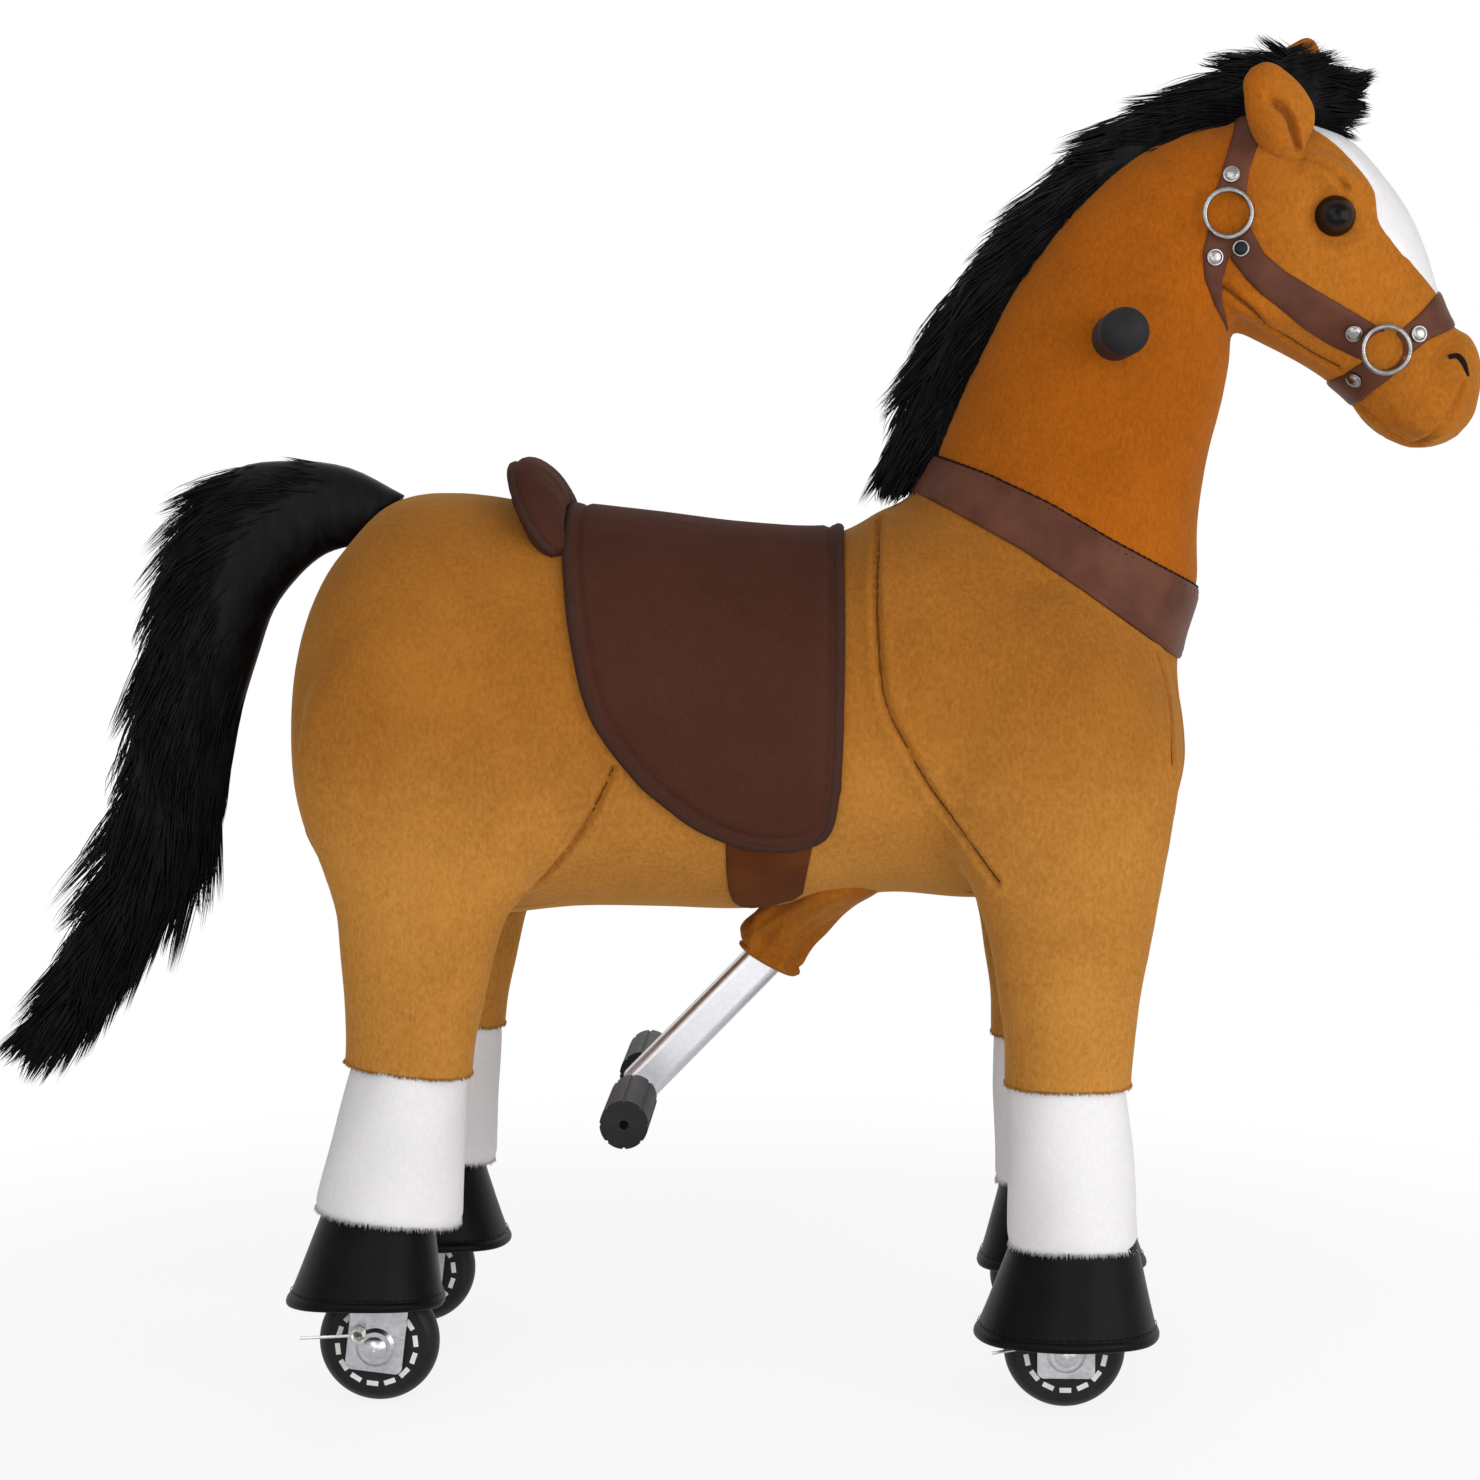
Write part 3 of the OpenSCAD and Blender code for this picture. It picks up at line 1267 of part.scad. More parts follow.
at_rear() hind_sock(left);  // rear_sock_left
at_rear() hind_sock(right);  // rear_sock_right
at_rear() hoof(left, hind_hoof_rise);  // rear_hoof_left
at_rear() hoof(right, hind_hoof_rise);  // rear_hoof_right
tyre(1, left);  // front_tyre_left
tyre(1, right);  // front_tyre_right
tyre(-1, left);  // rear_tyre_left
tyre(-1, right);  // rear_tyre_right
hub(1, left);  // front_hub_left
hub(1, right);  // front_hub_right
hub(-1, left);  // rear_hub_left
hub(-1, right);  // rear_hub_right
wheel_bearings(1, left);  // front_bearings_left
wheel_bearings(1, right);  // front_bearings_right
wheel_bearings(-1, left);  // rear_bearings_left
wheel_bearings(-1, right);  // rear_bearings_right
pedal_lever();
pedal_grips();
front_tie_rod();
rear_tie_rod();
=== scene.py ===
"""A ride-on plush horse on wheels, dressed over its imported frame."""
import math

import bmesh
import bpy
import numpy as np
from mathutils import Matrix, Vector
from mathutils.bvhtree import BVHTree
from mathutils.kdtree import KDTree


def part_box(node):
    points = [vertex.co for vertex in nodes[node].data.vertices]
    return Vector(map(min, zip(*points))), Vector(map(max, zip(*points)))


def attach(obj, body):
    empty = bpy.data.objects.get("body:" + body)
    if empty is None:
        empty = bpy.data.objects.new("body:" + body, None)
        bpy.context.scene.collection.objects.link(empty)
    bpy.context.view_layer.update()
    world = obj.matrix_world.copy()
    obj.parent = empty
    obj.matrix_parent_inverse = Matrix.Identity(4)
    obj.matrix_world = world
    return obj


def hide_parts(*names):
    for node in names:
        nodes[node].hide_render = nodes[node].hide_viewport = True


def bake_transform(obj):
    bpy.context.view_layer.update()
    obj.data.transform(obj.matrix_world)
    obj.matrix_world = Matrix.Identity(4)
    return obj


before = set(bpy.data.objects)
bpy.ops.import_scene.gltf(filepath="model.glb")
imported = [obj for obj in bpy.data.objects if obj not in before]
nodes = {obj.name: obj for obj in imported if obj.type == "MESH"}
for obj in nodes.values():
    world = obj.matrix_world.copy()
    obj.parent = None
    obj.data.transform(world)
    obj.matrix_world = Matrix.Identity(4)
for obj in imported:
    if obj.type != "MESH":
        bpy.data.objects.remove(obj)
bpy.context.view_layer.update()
scene = bpy.context.scene
MM = 0.001

# Camera, square to the horse's right side and as high as the saddle

camera = bpy.data.objects.new("side_camera", bpy.data.cameras.new("side_camera"))
scene.collection.objects.link(camera)
camera.location = (0.068, -1.8, 0.507)
look_at = Vector((0.005, 0.0, 0.368))
camera.rotation_euler = (look_at - camera.location).to_track_quat("-Z", "Y").to_euler()
camera.data.sensor_width = 36.0
camera.data.lens = 75.5
scene.camera = camera
scene.view_settings.view_transform = "Standard"


# Shading

class Sock:
    """A socket of a material's node tree, so that values add up as Python expressions."""

    def __init__(self, tree, socket=None):
        self.tree = tree
        self.socket = socket

    def add(self, kind, settings=None, links=None, out=0):
        node = self.tree.nodes.new(kind)
        for name, value in (settings or {}).items():
            setattr(node, name, value)
        for name, value in (links or {}).items():
            if isinstance(value, Sock):
                self.tree.links.new(value.socket, node.inputs[name])
            else:
                node.inputs[name].default_value = value
        return Sock(self.tree, node.outputs[out]) if len(node.outputs) else None

    def math(self, operation, *values):
        return self.add("ShaderNodeMath", {"operation": operation}, dict(enumerate(values)))

    def __add__(self, other):
        return self.math("ADD", self, other)

    __radd__ = __add__

    def __sub__(self, other):
        return self.math("SUBTRACT", self, other)

    def __rsub__(self, other):
        return self.math("SUBTRACT", other, self)

    def __mul__(self, other):
        return self.math("MULTIPLY", self, other)

    __rmul__ = __mul__

    def __pow__(self, other):
        return self.math("POWER", self, other)

    def between(self, low, high):
        """0 below low, 1 above high, smooth between."""
        links = {0: self, 1: low, 2: high}
        return self.add("ShaderNodeMapRange", {"interpolation_type": "SMOOTHSTEP"}, links)

    def mix(self, a, b):
        """Colour a where this value is 0 and b where it is 1."""
        return self.add("ShaderNodeMix", {"data_type": "RGBA"}, {0: self, 6: a, 7: b}, out=2)

    def stretch(self, by):
        return self.add("ShaderNodeVectorMath", {"operation": "MULTIPLY"}, {0: self, 1: by})

    def noise(self, scale, detail, rough):
        links = {"Vector": self, "Scale": scale, "Detail": detail, "Roughness": rough}
        return self.add("ShaderNodeTexNoise", None, links)

    def cells(self, scale, feature="F1"):
        return self.add("ShaderNodeTexVoronoi", {"feature": feature}, {"Vector": self, "Scale": scale})

    def axis(self, k):
        """The x, y or z of a place, for k of 0, 1 or 2."""
        return self.add("ShaderNodeSeparateXYZ", None, {0: self}, k)

    def bump(self, strength, depth):
        return self.add("ShaderNodeBump", None, {"Height": self, "Strength": strength, "Distance": depth})


def ink(red, green, blue):
    """A colour as a screen shows it, 0 to 255, as the shader's linear values."""
    shares = [v / 255 for v in (red, green, blue)]
    return (*[v / 12.92 if v < 0.0404 else ((v + 0.055) / 1.055) ** 2.4 for v in shares], 1.0)


def new_finish(name):
    """A new finish, its node tree and the place of a point in the horse's own frame, in metres."""
    finish = bpy.data.materials.new(name)
    finish.use_nodes = True
    finish.node_tree.nodes.clear()
    tree = Sock(finish.node_tree)
    place = tree.add("ShaderNodeTexCoord", out=3)
    return finish, tree, place


def cover(tree, colour, rough, normal=None, **constants):
    """The shader of a finish: varying colour, roughness and normal, and constants by their socket names."""
    links = {"Base Color": colour, "Roughness": rough}
    if normal is not None:
        links["Normal"] = normal
    for name, value in constants.items():
        links[name.replace("_", " ").title().replace("Ior", "IOR")] = value
    shader = tree.add("ShaderNodeBsdfPrincipled", None, links)
    tree.add("ShaderNodeOutputMaterial", None, {"Surface": shader})


# Heights over which the plush turns lighter below, painted light that stands for the bounce from the floor, lengths
# over which the neck's tone turns into the head's, and the slanting line under the collar where the neck's tone
# starts, in metres
FLOOR_LIT_Z, HEAD_X, COLLAR_SLOPE, NECK_START = (0.29, 0.41), (0.268, 0.325), 0.5625, (0.585, 0.588)
HEAD_SHARE = 0.85


def plush_finish(name, light, dark, zones=None, sheen=0.35, tint=(1, 1, 1, 1)):
    """Short pile: a fine nap with painted shade between the tufts and brushed patches of tone, and a soft sheen along
    the rims.
    """
    finish, tree, place = new_finish(name)
    along = place.stretch((1.0, 1.0, 0.6))
    tufts = along.noise(460.0, 3.0, 0.6)
    hairs = along.noise(1500.0, 2.0, 0.5)
    brushed = place.noise(9.0, 3.0, 0.55)
    patches = place.stretch((1.0, 1.0, 1.6)).noise(38.0, 3.0, 0.6)
    # The colour follows the pile's height: painted shade in the hollows between the tufts, mixed with brushed patches
    # of tone
    depth = (tufts * 0.4 + hairs * 0.2 + patches * 0.1 + brushed * 0.38).between(0.34, 0.74)
    colour = depth.mix(dark, light)
    if zones:
        low, neck, head = [depth.mix(zone_dark, zone_light) for zone_light, zone_dark in zones]
        x, z = place.axis(0), place.axis(2)
        # Lighter towards the bottom: painted light from the floor's bounce
        colour = (1.0 - z.between(*FLOOR_LIT_Z)).mix(colour, low)
        front = (x.between(*HEAD_X) * HEAD_SHARE).mix(neck, head)
        colour = (x * COLLAR_SLOPE + z).between(*NECK_START).mix(colour, front)
    cover(tree, colour, 0.95, (tufts * 0.6 + hairs * 0.4).bump(0.4, 0.0012), sheen_weight=sheen,
          sheen_roughness=0.4, sheen_tint=tint, specular_ior_level=0.1)
    return finish


def fur_finish(name, light, dark):
    """Long black pile whose lighter streaks along the strands are a painted gleam, with a roughness that changes
    along them.
    """
    finish, tree, place = new_finish(name)
    locks = place.stretch((1.0, 1.0, 0.3)).noise(160.0, 3.0, 0.6)
    # Lighter streaks along the strands: a painted gleam
    cover(tree, locks.between(0.35, 0.75).mix(dark, light), 0.42 + locks * 0.2, specular_ior_level=0.09)
    return finish


def vinyl_finish(name, light, dark):
    """Soft black vinyl with a fine grain and broad dull scuffs."""
    finish, tree, place = new_finish(name)
    grain = place.cells(1500.0)
    scuffs = place.noise(45.0, 4.0, 0.6)
    cover(tree, scuffs.between(0.3, 0.7).mix(dark, light), 0.3 + scuffs * 0.18,
          (grain * 0.5 + scuffs).bump(0.12, 0.0004), specular_ior_level=0.07)
    return finish


def suede_finish(name, light, dark):
    """Brushed cloth or thread: a fine pile that lies lighter and darker in broad strokes."""
    finish, tree, place = new_finish(name)
    brushed = place.noise(14.0, 4.0, 0.6)
    pile = place.noise(1400.0, 3.0, 0.6)
    colour = (brushed * 0.35 + pile * 0.65).between(0.3, 0.7).mix(dark, light)
    cover(tree, colour, 0.9, (pile + brushed * 0.4).bump(0.25, 0.0006), sheen_weight=0.06, sheen_roughness=0.4,
          sheen_tint=light, specular_ior_level=0.06)
    return finish


def strap_finish(name, light, dark, gloss=0.42):
    """Coated strap: fine pores, soft broad shading and a low gloss."""
    finish, tree, place = new_finish(name)
    pores = place.cells(1300.0, "DISTANCE_TO_EDGE")
    worn = place.noise(35.0, 3.0, 0.55)
    colour = worn.between(0.3, 0.72).mix(dark, light)
    cover(tree, colour, gloss + worn * 0.14, (pores * 0.6 + worn * 0.3).bump(0.22, 0.0004), specular_ior_level=0.1)
    return finish


def steel_finish(name, light, dark, rough, grain=1.0, stain=None):
    """Plated or bare steel: crystal patches, fine brushing and dull spots."""
    finish, tree, place = new_finish(name)
    spangle = place.cells(300.0)
    brushed = place.stretch((1.0, 1.0, 14.0)).noise(240.0, 2.0, 0.5)
    dull = place.noise(60.0, 4.0, 0.6)
    colour = (spangle * 0.15 + brushed * 0.45 + dull * 0.4).between(0.25, 0.75).mix(dark, light)
    if stain:
        colour = dull.between(0.62, 0.78).mix(colour, stain)
    cover(tree, colour, rough + dull * 0.16, (brushed * 0.5 + dull).bump(0.08 * grain, 0.0003), metallic=1.0)
    return finish


def rubber_finish(name, light, dark, rough):
    """Moulded rubber or plastic: fine pebbling under a little dust."""
    finish, tree, place = new_finish(name)
    pebble = place.noise(900.0, 3.0, 0.6)
    dust = place.noise(40.0, 4.0, 0.6)
    cover(tree, dust.between(0.35, 0.75).mix(dark, light), rough + dust * 0.2, pebble.bump(0.15, 0.0004),
          specular_ior_level=0.2)
    return finish


def painted_finish(name, light, dark):
    """Powder paint with a slight orange peel and lighter chips."""
    finish, tree, place = new_finish(name)
    peel = place.noise(500.0, 2.0, 0.5)
    chips = place.noise(70.0, 5.0, 0.7)
    cover(tree, chips.between(0.35, 0.7).mix(dark, light), 0.38 + chips * 0.15, peel.bump(0.1, 0.0003), metallic=0.2)
    return finish


EYE_LOW, EYE_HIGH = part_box("eyes")
EYE_X, EYE_Z = (EYE_LOW.x + EYE_HIGH.x) / 2, (EYE_LOW.z + EYE_HIGH.z) / 2


def eye_finish(name):
    """Moulded glossy eye: black pupil in a dark brown ring."""
    finish, tree, place = new_finish(name)
    x, z = place.axis(0), place.axis(2)
    out = ((x - EYE_X) ** 2.0 + (z - EYE_Z) ** 2.0) ** 0.5
    streaks = place.noise(900.0, 2.0, 0.6)
    iris = out.between(0.0055, 0.0068) * (1.0 - out.between(0.0098, 0.0112))
    colour = (iris * (0.55 + streaks * 0.5)).mix(ink(7, 6, 6), ink(44, 26, 13))
    cover(tree, colour, 0.16 + streaks * 0.04, specular_ior_level=0.1)
    return finish


# The lower plush's tones are painted light from the floor's bounce; the neck's and the head's are their own colours
FLOOR_LIT_TONES = ink(190, 132, 60), ink(152, 99, 38)
NECK_TONES = ink(172, 92, 15), ink(134, 70, 10)
HEAD_TONES = ink(186, 114, 36), ink(146, 86, 24)
TAN_GLOW = ink(235, 190, 120)
tan_plush = plush_finish("tan_plush", ink(168, 108, 40), ink(134, 81, 25), (FLOOR_LIT_TONES, NECK_TONES, HEAD_TONES),
                         tint=TAN_GLOW)
sleeve_plush = plush_finish("sleeve_plush", ink(166, 98, 28), ink(122, 70, 17), tint=TAN_GLOW)
white_plush = plush_finish("white_plush", ink(229, 227, 229), ink(219, 217, 219), sheen=0.05)
black_fur = fur_finish("black_fur", ink(20, 19, 22), ink(6, 5, 7))
hoof_vinyl = vinyl_finish("hoof_vinyl", ink(12, 11, 12), ink(6, 5, 6))
saddle_suede = suede_finish("saddle_suede", ink(76, 45, 35), ink(60, 34, 25))
edge_binding = suede_finish("edge_binding", ink(70, 46, 38), ink(52, 34, 28))
seam_thread = suede_finish("seam_thread", ink(124, 76, 28), ink(98, 58, 19))
strap_brown = strap_finish("strap_brown", ink(98, 59, 44), ink(76, 43, 31))
girth_brown = strap_finish("girth_brown", ink(94, 50, 20), ink(80, 40, 14), 0.7)
# Dark thread, also used for the painted shadow along the collar's upper edge
black_thread_and_shadow = suede_finish("black_thread_and_shadow", ink(34, 26, 24), ink(18, 13, 12))
zinc = steel_finish("zinc_plate", ink(198, 198, 201), ink(150, 151, 155), 0.22, 0.5, ink(138, 137, 135))
lever_steel = steel_finish("lever_steel", ink(204, 204, 207), ink(186, 186, 190), 0.3, 0.6)
chrome = steel_finish("chrome_trim", ink(158, 156, 155), ink(100, 98, 97), 0.14, 0.4)
spring_wire = steel_finish("spring_wire", ink(205, 203, 198), ink(160, 158, 154), 0.25)
bearing_steel = steel_finish("bearing_steel", ink(190, 192, 196), ink(150, 152, 156), 0.25)
frame_paint = painted_finish("frame_paint", ink(66, 69, 75), ink(48, 50, 56))
nylon = rubber_finish("bush_nylon", ink(232, 226, 210), ink(205, 198, 182), 0.45)
grip_rubber = rubber_finish("grip_rubber", ink(34, 32, 35), ink(18, 16, 18), 0.5)
tyre_rubber = rubber_finish("tyre_rubber", ink(26, 24, 26), ink(14, 13, 15), 0.4)
hub_plastic = rubber_finish("hub_plastic", ink(236, 236, 232), ink(210, 210, 206), 0.4)
eye_glass = eye_finish("eye_glass")

CORNERS = [(pair, side) for pair in ("front", "rear") for side in ("left", "right")]
NODE_FINISHES = {
    frame_paint: ["main_frame", "neck_post", "handlebar", "front_leg_frame", "rear_leg_frame"],
    nylon: ["pivot_bushes"],
    spring_wire: ["return_springs", "front_pawl_springs", "rear_pawl_springs"],
    grip_rubber: ["handlebar_grips", "pedal_grips"],
    zinc: ["front_forks", "rear_forks", "front_axle_bolts", "rear_axle_bolts"],
    lever_steel: ["pedal_lever", "front_tie_rod", "rear_tie_rod"],
    chrome: ["bridle_rings"],
    eye_glass: ["eyes"],
    tyre_rubber: [f"{pair}_tyre_{side}" for pair, side in CORNERS],
    hub_plastic: [f"{pair}_hub_{side}" for pair, side in CORNERS],
    bearing_steel: [f"{pair}_bearings_{side}" for pair, side in CORNERS],
}
for finish, names in NODE_FINISHES.items():
    for name in names:
        slots = nodes[name].data.materials
        if len(slots) == 0:
            slots.append(finish)
        for k in range(len(slots)):
            slots[k] = finish


# Forms

def unit(rows):
    """Rows of vectors, each made one long."""
    return rows / np.maximum(np.linalg.norm(rows, axis=1), 1e-9)[:, None]


def angles(sides):
    """Even angles round a ring."""
    return np.arange(sides) * 2 * np.pi / sides


def off_line(x, z, start, run):
    """Distance of points of the side view from a straight line, given by its start and its run."""
    (ax, az), (dx, dz) = start, run
    share = np.clip(((x - ax) * dx + (z - az) * dz) / max(dx * dx + dz * dz, 1e-9), 0, 1)
    return np.hypot(x - ax - share * dx, z - az - share * dz)


def ease(share):
    """A share from 0 to 1 with soft ends."""
    return share * share * (3 - 2 * share)


def smooth_rows(rows, steps):
    """Rows of numbers joined by a smooth curve, with steps rows for each gap."""
    rows = np.array(rows, float)
    first, last = 2 * rows[0] - rows[1], 2 * rows[-1] - rows[-2]
    ends = np.vstack([first, rows, last])
    out = []
    for i in range(1, len(ends) - 2):
        a, b, c, d = ends[i - 1:i + 3]
        for t in np.arange(steps) / steps:
            out.append(b + 0.5 * t * (c - a + t * (2 * a - 5 * b + 4 * c - d + t * (3 * (b - c) + d - a))))
    out.append(rows[-1])
    return np.array(out)


def section(row, sides, power, middle_y=0.0):
    """Rounded ring through two points of a side view; row is low x, z, high x, z and half width, in mm."""
    lx, lz, hx, hz, half = row
    t = angles(sides)
    c = np.sign(np.cos(t)) * np.abs(np.cos(t)) ** (2 / power)
    s = np.sign(np.sin(t)) * np.abs(np.sin(t)) ** (2 / power)
    x, z = (lx + hx) / 2 + s * (hx - lx) / 2, (lz + hz) / 2 + s * (hz - lz) / 2
    return np.stack([x, middle_y + c * half, z], 1) * MM


def loft(rings):
    """Points and faces of a closed form through rings of the same count."""
    n = len(rings[0])
    points = [tuple(p) for ring in rings for p in ring]
    faces = []
    for j in range(len(rings) - 1):
        for i in range(n):
            k = (i + 1) % n
            faces.append((j * n + i, j * n + k, (j + 1) * n + k, (j + 1) * n + i))
    for ring, at in ((rings[0], 0), (rings[-1], (len(rings) - 1) * n)):
        middle = len(points)
        points.append(tuple(np.mean(ring, 0)))
        for i in range(n):
            k = (i + 1) % n
            faces.append((middle, at + k, at + i) if at == 0 else (middle, at + i, at + k))
    return points, faces


def merge(parts):
    """Points and faces of several forms as one."""
    points, faces = [], []
    for more, rest in parts:
        at = len(points)
        points += list(more)
        faces += [tuple(i + at for i in face) for face in rest]
    return points, faces


def make_piece(name, points, faces, finish, smooth=True):
    """A new object of points in metres and faces, in one finish."""
    mesh = bpy.data.meshes.new(name)
    mesh.from_pydata([tuple(p) for p in points], [], [tuple(f) for f in faces])
    mesh.update()
    if smooth:
        mesh.polygons.foreach_set("use_smooth", [True] * len(mesh.polygons))
    piece = bpy.data.objects.new(name, mesh)
    scene.collection.objects.link(piece)
    if finish:
        mesh.materials.append(finish)
    return piece


def fused(parts, voxel):
    """One skin round overlapping closed forms, as points, quads and edges."""
    lump = make_piece("lump", *merge(parts), None)
    remesh = lump.modifiers.new("skin", "REMESH")
    remesh.mode = "VOXEL"
    remesh.voxel_size = voxel
    mesh = bpy.data.meshes.new_from_object(lump.evaluated_get(bpy.context.evaluated_depsgraph_get()))
    points = np.empty(len(mesh.vertices) * 3)
    mesh.vertices.foreach_get("co", points)
    edges = np.empty(len(mesh.edges) * 2, int)
    mesh.edges.foreach_get("vertices", edges)
    faces = [tuple(p.vertices) for p in mesh.polygons]
    bpy.data.meshes.remove(mesh)
    bpy.data.objects.remove(lump)
    return points.reshape(-1, 3), faces, edges.reshape(-1, 2)


def relax(points, edges, rounds, share=None, pull=0.5, push=-0.52):
    """Evens a skin out without shrinking it; share gives how far each point takes part."""
    share = np.ones(len(points)) if share is None else share
    count = np.zeros(len(points))
    np.add.at(count, edges.ravel(), 1)
    for k in range(2 * rounds):
        total = np.zeros_like(points)
        np.add.at(total, edges[:, 0], points[edges[:, 1]])
        np.add.at(total, edges[:, 1], points[edges[:, 0]])
        step = pull if k % 2 == 0 else push
        points = points + (step * share)[:, None] * (total / np.maximum(count, 1)[:, None] - points)
    return points


def finder_of(points):
    """Finds the nearest of some points."""
    finder = KDTree(len(points))
    for k, point in enumerate(points):
        finder.insert(point, k)
    finder.balance()
    return finder


def border_of(faces):
    """The directed edges of faces that no other face shares."""
    after = {}
    for f in faces:
        for a, b in zip(f, f[1:] + f[:1]):
            after.setdefault(a, set()).add(b)
    return [(a, b) for a, ends in after.items() for b in ends if a not in after.get(b, ())]


def ball(middle, radii, turn, sides=20, rings=12):
    """Ellipsoid at a place in mm, turned about Y by degrees."""
    c, s = math.cos(math.radians(turn)), math.sin(math.radians(turn))
    hoops = []
    for j in range(1, rings):
        a = math.pi * j / rings
        t = angles(sides)
        x, y = radii[0] * math.sin(a) * np.cos(t), radii[1] * math.sin(a) * np.sin(t)
        z = np.full(sides, radii[2] * math.cos(a))
        hoops.append(np.stack([middle[0] + c * x + s * z, middle[1] + y, middle[2] - s * x + c * z], 1) * MM)
    return loft(hoops)


# The coat: one stuffed skin over trunk, neck, head and legs, cut where the legs turn

# Hip shafts, x and z in mm, how far the hind shanks lean, and the middle of a leg from the middle of the horse
HIPS = {"front": (190.0, 367.0), "rear": (-157.0, 364.73)}
REAR_LEAN = math.radians(6.7)
LEG_Y = 84.0
SIDES = {"left": 1, "right": -1}
# An x between the two pairs of legs, in metres
BETWEEN_PAIRS = 0.02
# x, lowest z, highest z and half width of the trunk
TRUNK = [
    (-254, 350, 385, 20), (-248, 322, 425, 52), (-238, 298, 455, 74), (-222, 284, 480, 92), (-193, 272, 507, 106),
    (-150, 266, 511, 112), (-90, 272, 501, 111), (-40, 272, 495, 108), (10, 271, 489, 106), (60, 277, 488, 106),
    (95, 281, 505, 107), (135, 278, 505, 109), (175, 280, 484, 107), (210, 288, 462, 98), (240, 304, 440, 86),
    (251, 325, 422, 70), (259, 350, 400, 42)]
# Front x, z, back x, z and half width of the neck, and the same of the head from its lower to its upper side
NECK_ROWS = [
    (236, 410, 92, 480, 80), (258, 424, 95, 500, 78), (268, 452, 112, 522, 76), (268, 492, 122, 548, 68),
    (273, 530, 140, 588, 60), (281, 562, 163, 632, 54), (287, 592, 192, 671, 50), (295, 612, 228, 703, 47),
    (305, 625, 262, 718, 44), (320, 640, 290, 722, 38)]
HEAD_ROWS = [
    (255, 640, 268, 716, 40), (270, 615, 300, 726, 47), (290, 603, 330, 720, 50), (308, 594, 352, 711, 50),
    (325, 586, 371, 691, 47), (338, 578, 386, 670, 42), (350, 569, 397, 645, 38), (358, 561, 404, 622, 35),
    (364, 553, 412, 606, 35), (372, 546, 421, 601, 36), (384, 540, 427, 589, 34), (398, 537, 428, 575, 28),
    (412, 541, 425, 556, 14)]
# Height, rear x, front x, half width and middle y of each leg's plush
LEG_ROWS = {
    "front": [
        (455, 158, 205, 18, 78), (430, 136, 222, 26, 82), (400, 120, 239, 30, 84), (367, 114, 252, 31.5, 84),
        (335, 118, 249, 31.5, 84), (310, 128, 245, 31, 84), (288, 138, 241, 31, 84), (260, 147, 236, 31, 84),
        (235, 151, 231, 31.5, 84), (210, 155, 228, 32.5, 84), (188, 155.5, 226, 34, 84),
        (176, 156, 225.5, 34, 84), (170, 159, 223, 31, 84)],
    "rear": [
        (452, -190, -124, 20, 80), (430, -214, -104, 27, 83), (400, -232, -87, 31, 84), (365, -240, -79, 32, 84),
        (335, -238, -84, 32, 84), (305, -227, -101, 31.5, 84), (277, -218, -121, 31, 84), (252, -216, -130, 31, 84),
        (231, -214, -135, 31.5, 84), (211, -213, -140, 32.5, 84), (196, -213, -142, 34, 84),
        (184, -214, -143.5, 34, 84), (178, -211, -147, 31, 84)],
}
TILT, TILT_TOP, TILT_RUN = 3.9, 270, 60
# Stuffing under the skin: place, half sizes and turn of brow, jaw, nostril and lower lip on the left side
PADS = [((333, 38, 688), (22, 13, 10), 24), ((300, 37, 628), (34, 13, 24), 30),
        ((404, 25, 577), (16, 13, 16), 0), ((392, 20, 552), (20, 14, 10), 12)]


def tilt(pair, z):
    """How far the hind shank's lower rings turn square to the leaning leg."""
    return TILT * min(1.0, max(0.0, (TILT_TOP - z) / TILT_RUN)) if pair == "rear" else 0.0


coat_parts = [
    loft([section((x, low, x, high, half), 48, 2.3) for x, low, high, half in smooth_rows(TRUNK, 4)]),
    loft([section(row, 40, 2.2) for row in smooth_rows(NECK_ROWS, 4)]),
    loft([section(row, 40, 2.2) for row in smooth_rows(HEAD_ROWS, 4)]),
]
for pair, rows in LEG_ROWS.items():
    for sign in SIDES.values():
        coat_parts.append(loft([
            section((rear, z + tilt(pair, z), front, z - tilt(pair, z), half), 36, 2.3, sign * middle)
            for z, rear, front, half, middle in smooth_rows(rows, 3)]))
for sign in SIDES.values():
    coat_parts += [ball((x, sign * y, z), radii, turn) for (x, y, z), radii, turn in PADS]

# How the skin is evened out: round the hips, along the root of the neck, then along lines of the side view that are
# given by start and run, reach, fade and rounds: the fold over the shoulder, the breast and the cheek. In metres
HIP_REACH, HIP_FADE, HIP_Y = 0.150, 0.05, 0.03
ROOT_AT, ROOT_SLOPE, ROOT_REACH, ROOT_FADE, ROOT_X = (0.18, 0.49), 0.55, 0.075, 0.04, 0.05
EVEN_LINES = [((0.165, 0.447), (0.095, -0.035), 0.055, 0.035, 45), ((0.225, 0.418), (0.0, 0.0), 0.062, 0.035, 110),
              ((0.302, 0.606), (0.0, 0.0), 0.032, 0.015, 30)]
THROAT_AT, THROAT_REACH, THROAT_MOVE = (0.2915, 0.6010), 0.0095, (-5.0, 0.0, 5.0)
DENT_REACH, DENT_FADE, EYE_STANDS = 20 * MM, 8 * MM, 10.6 * MM

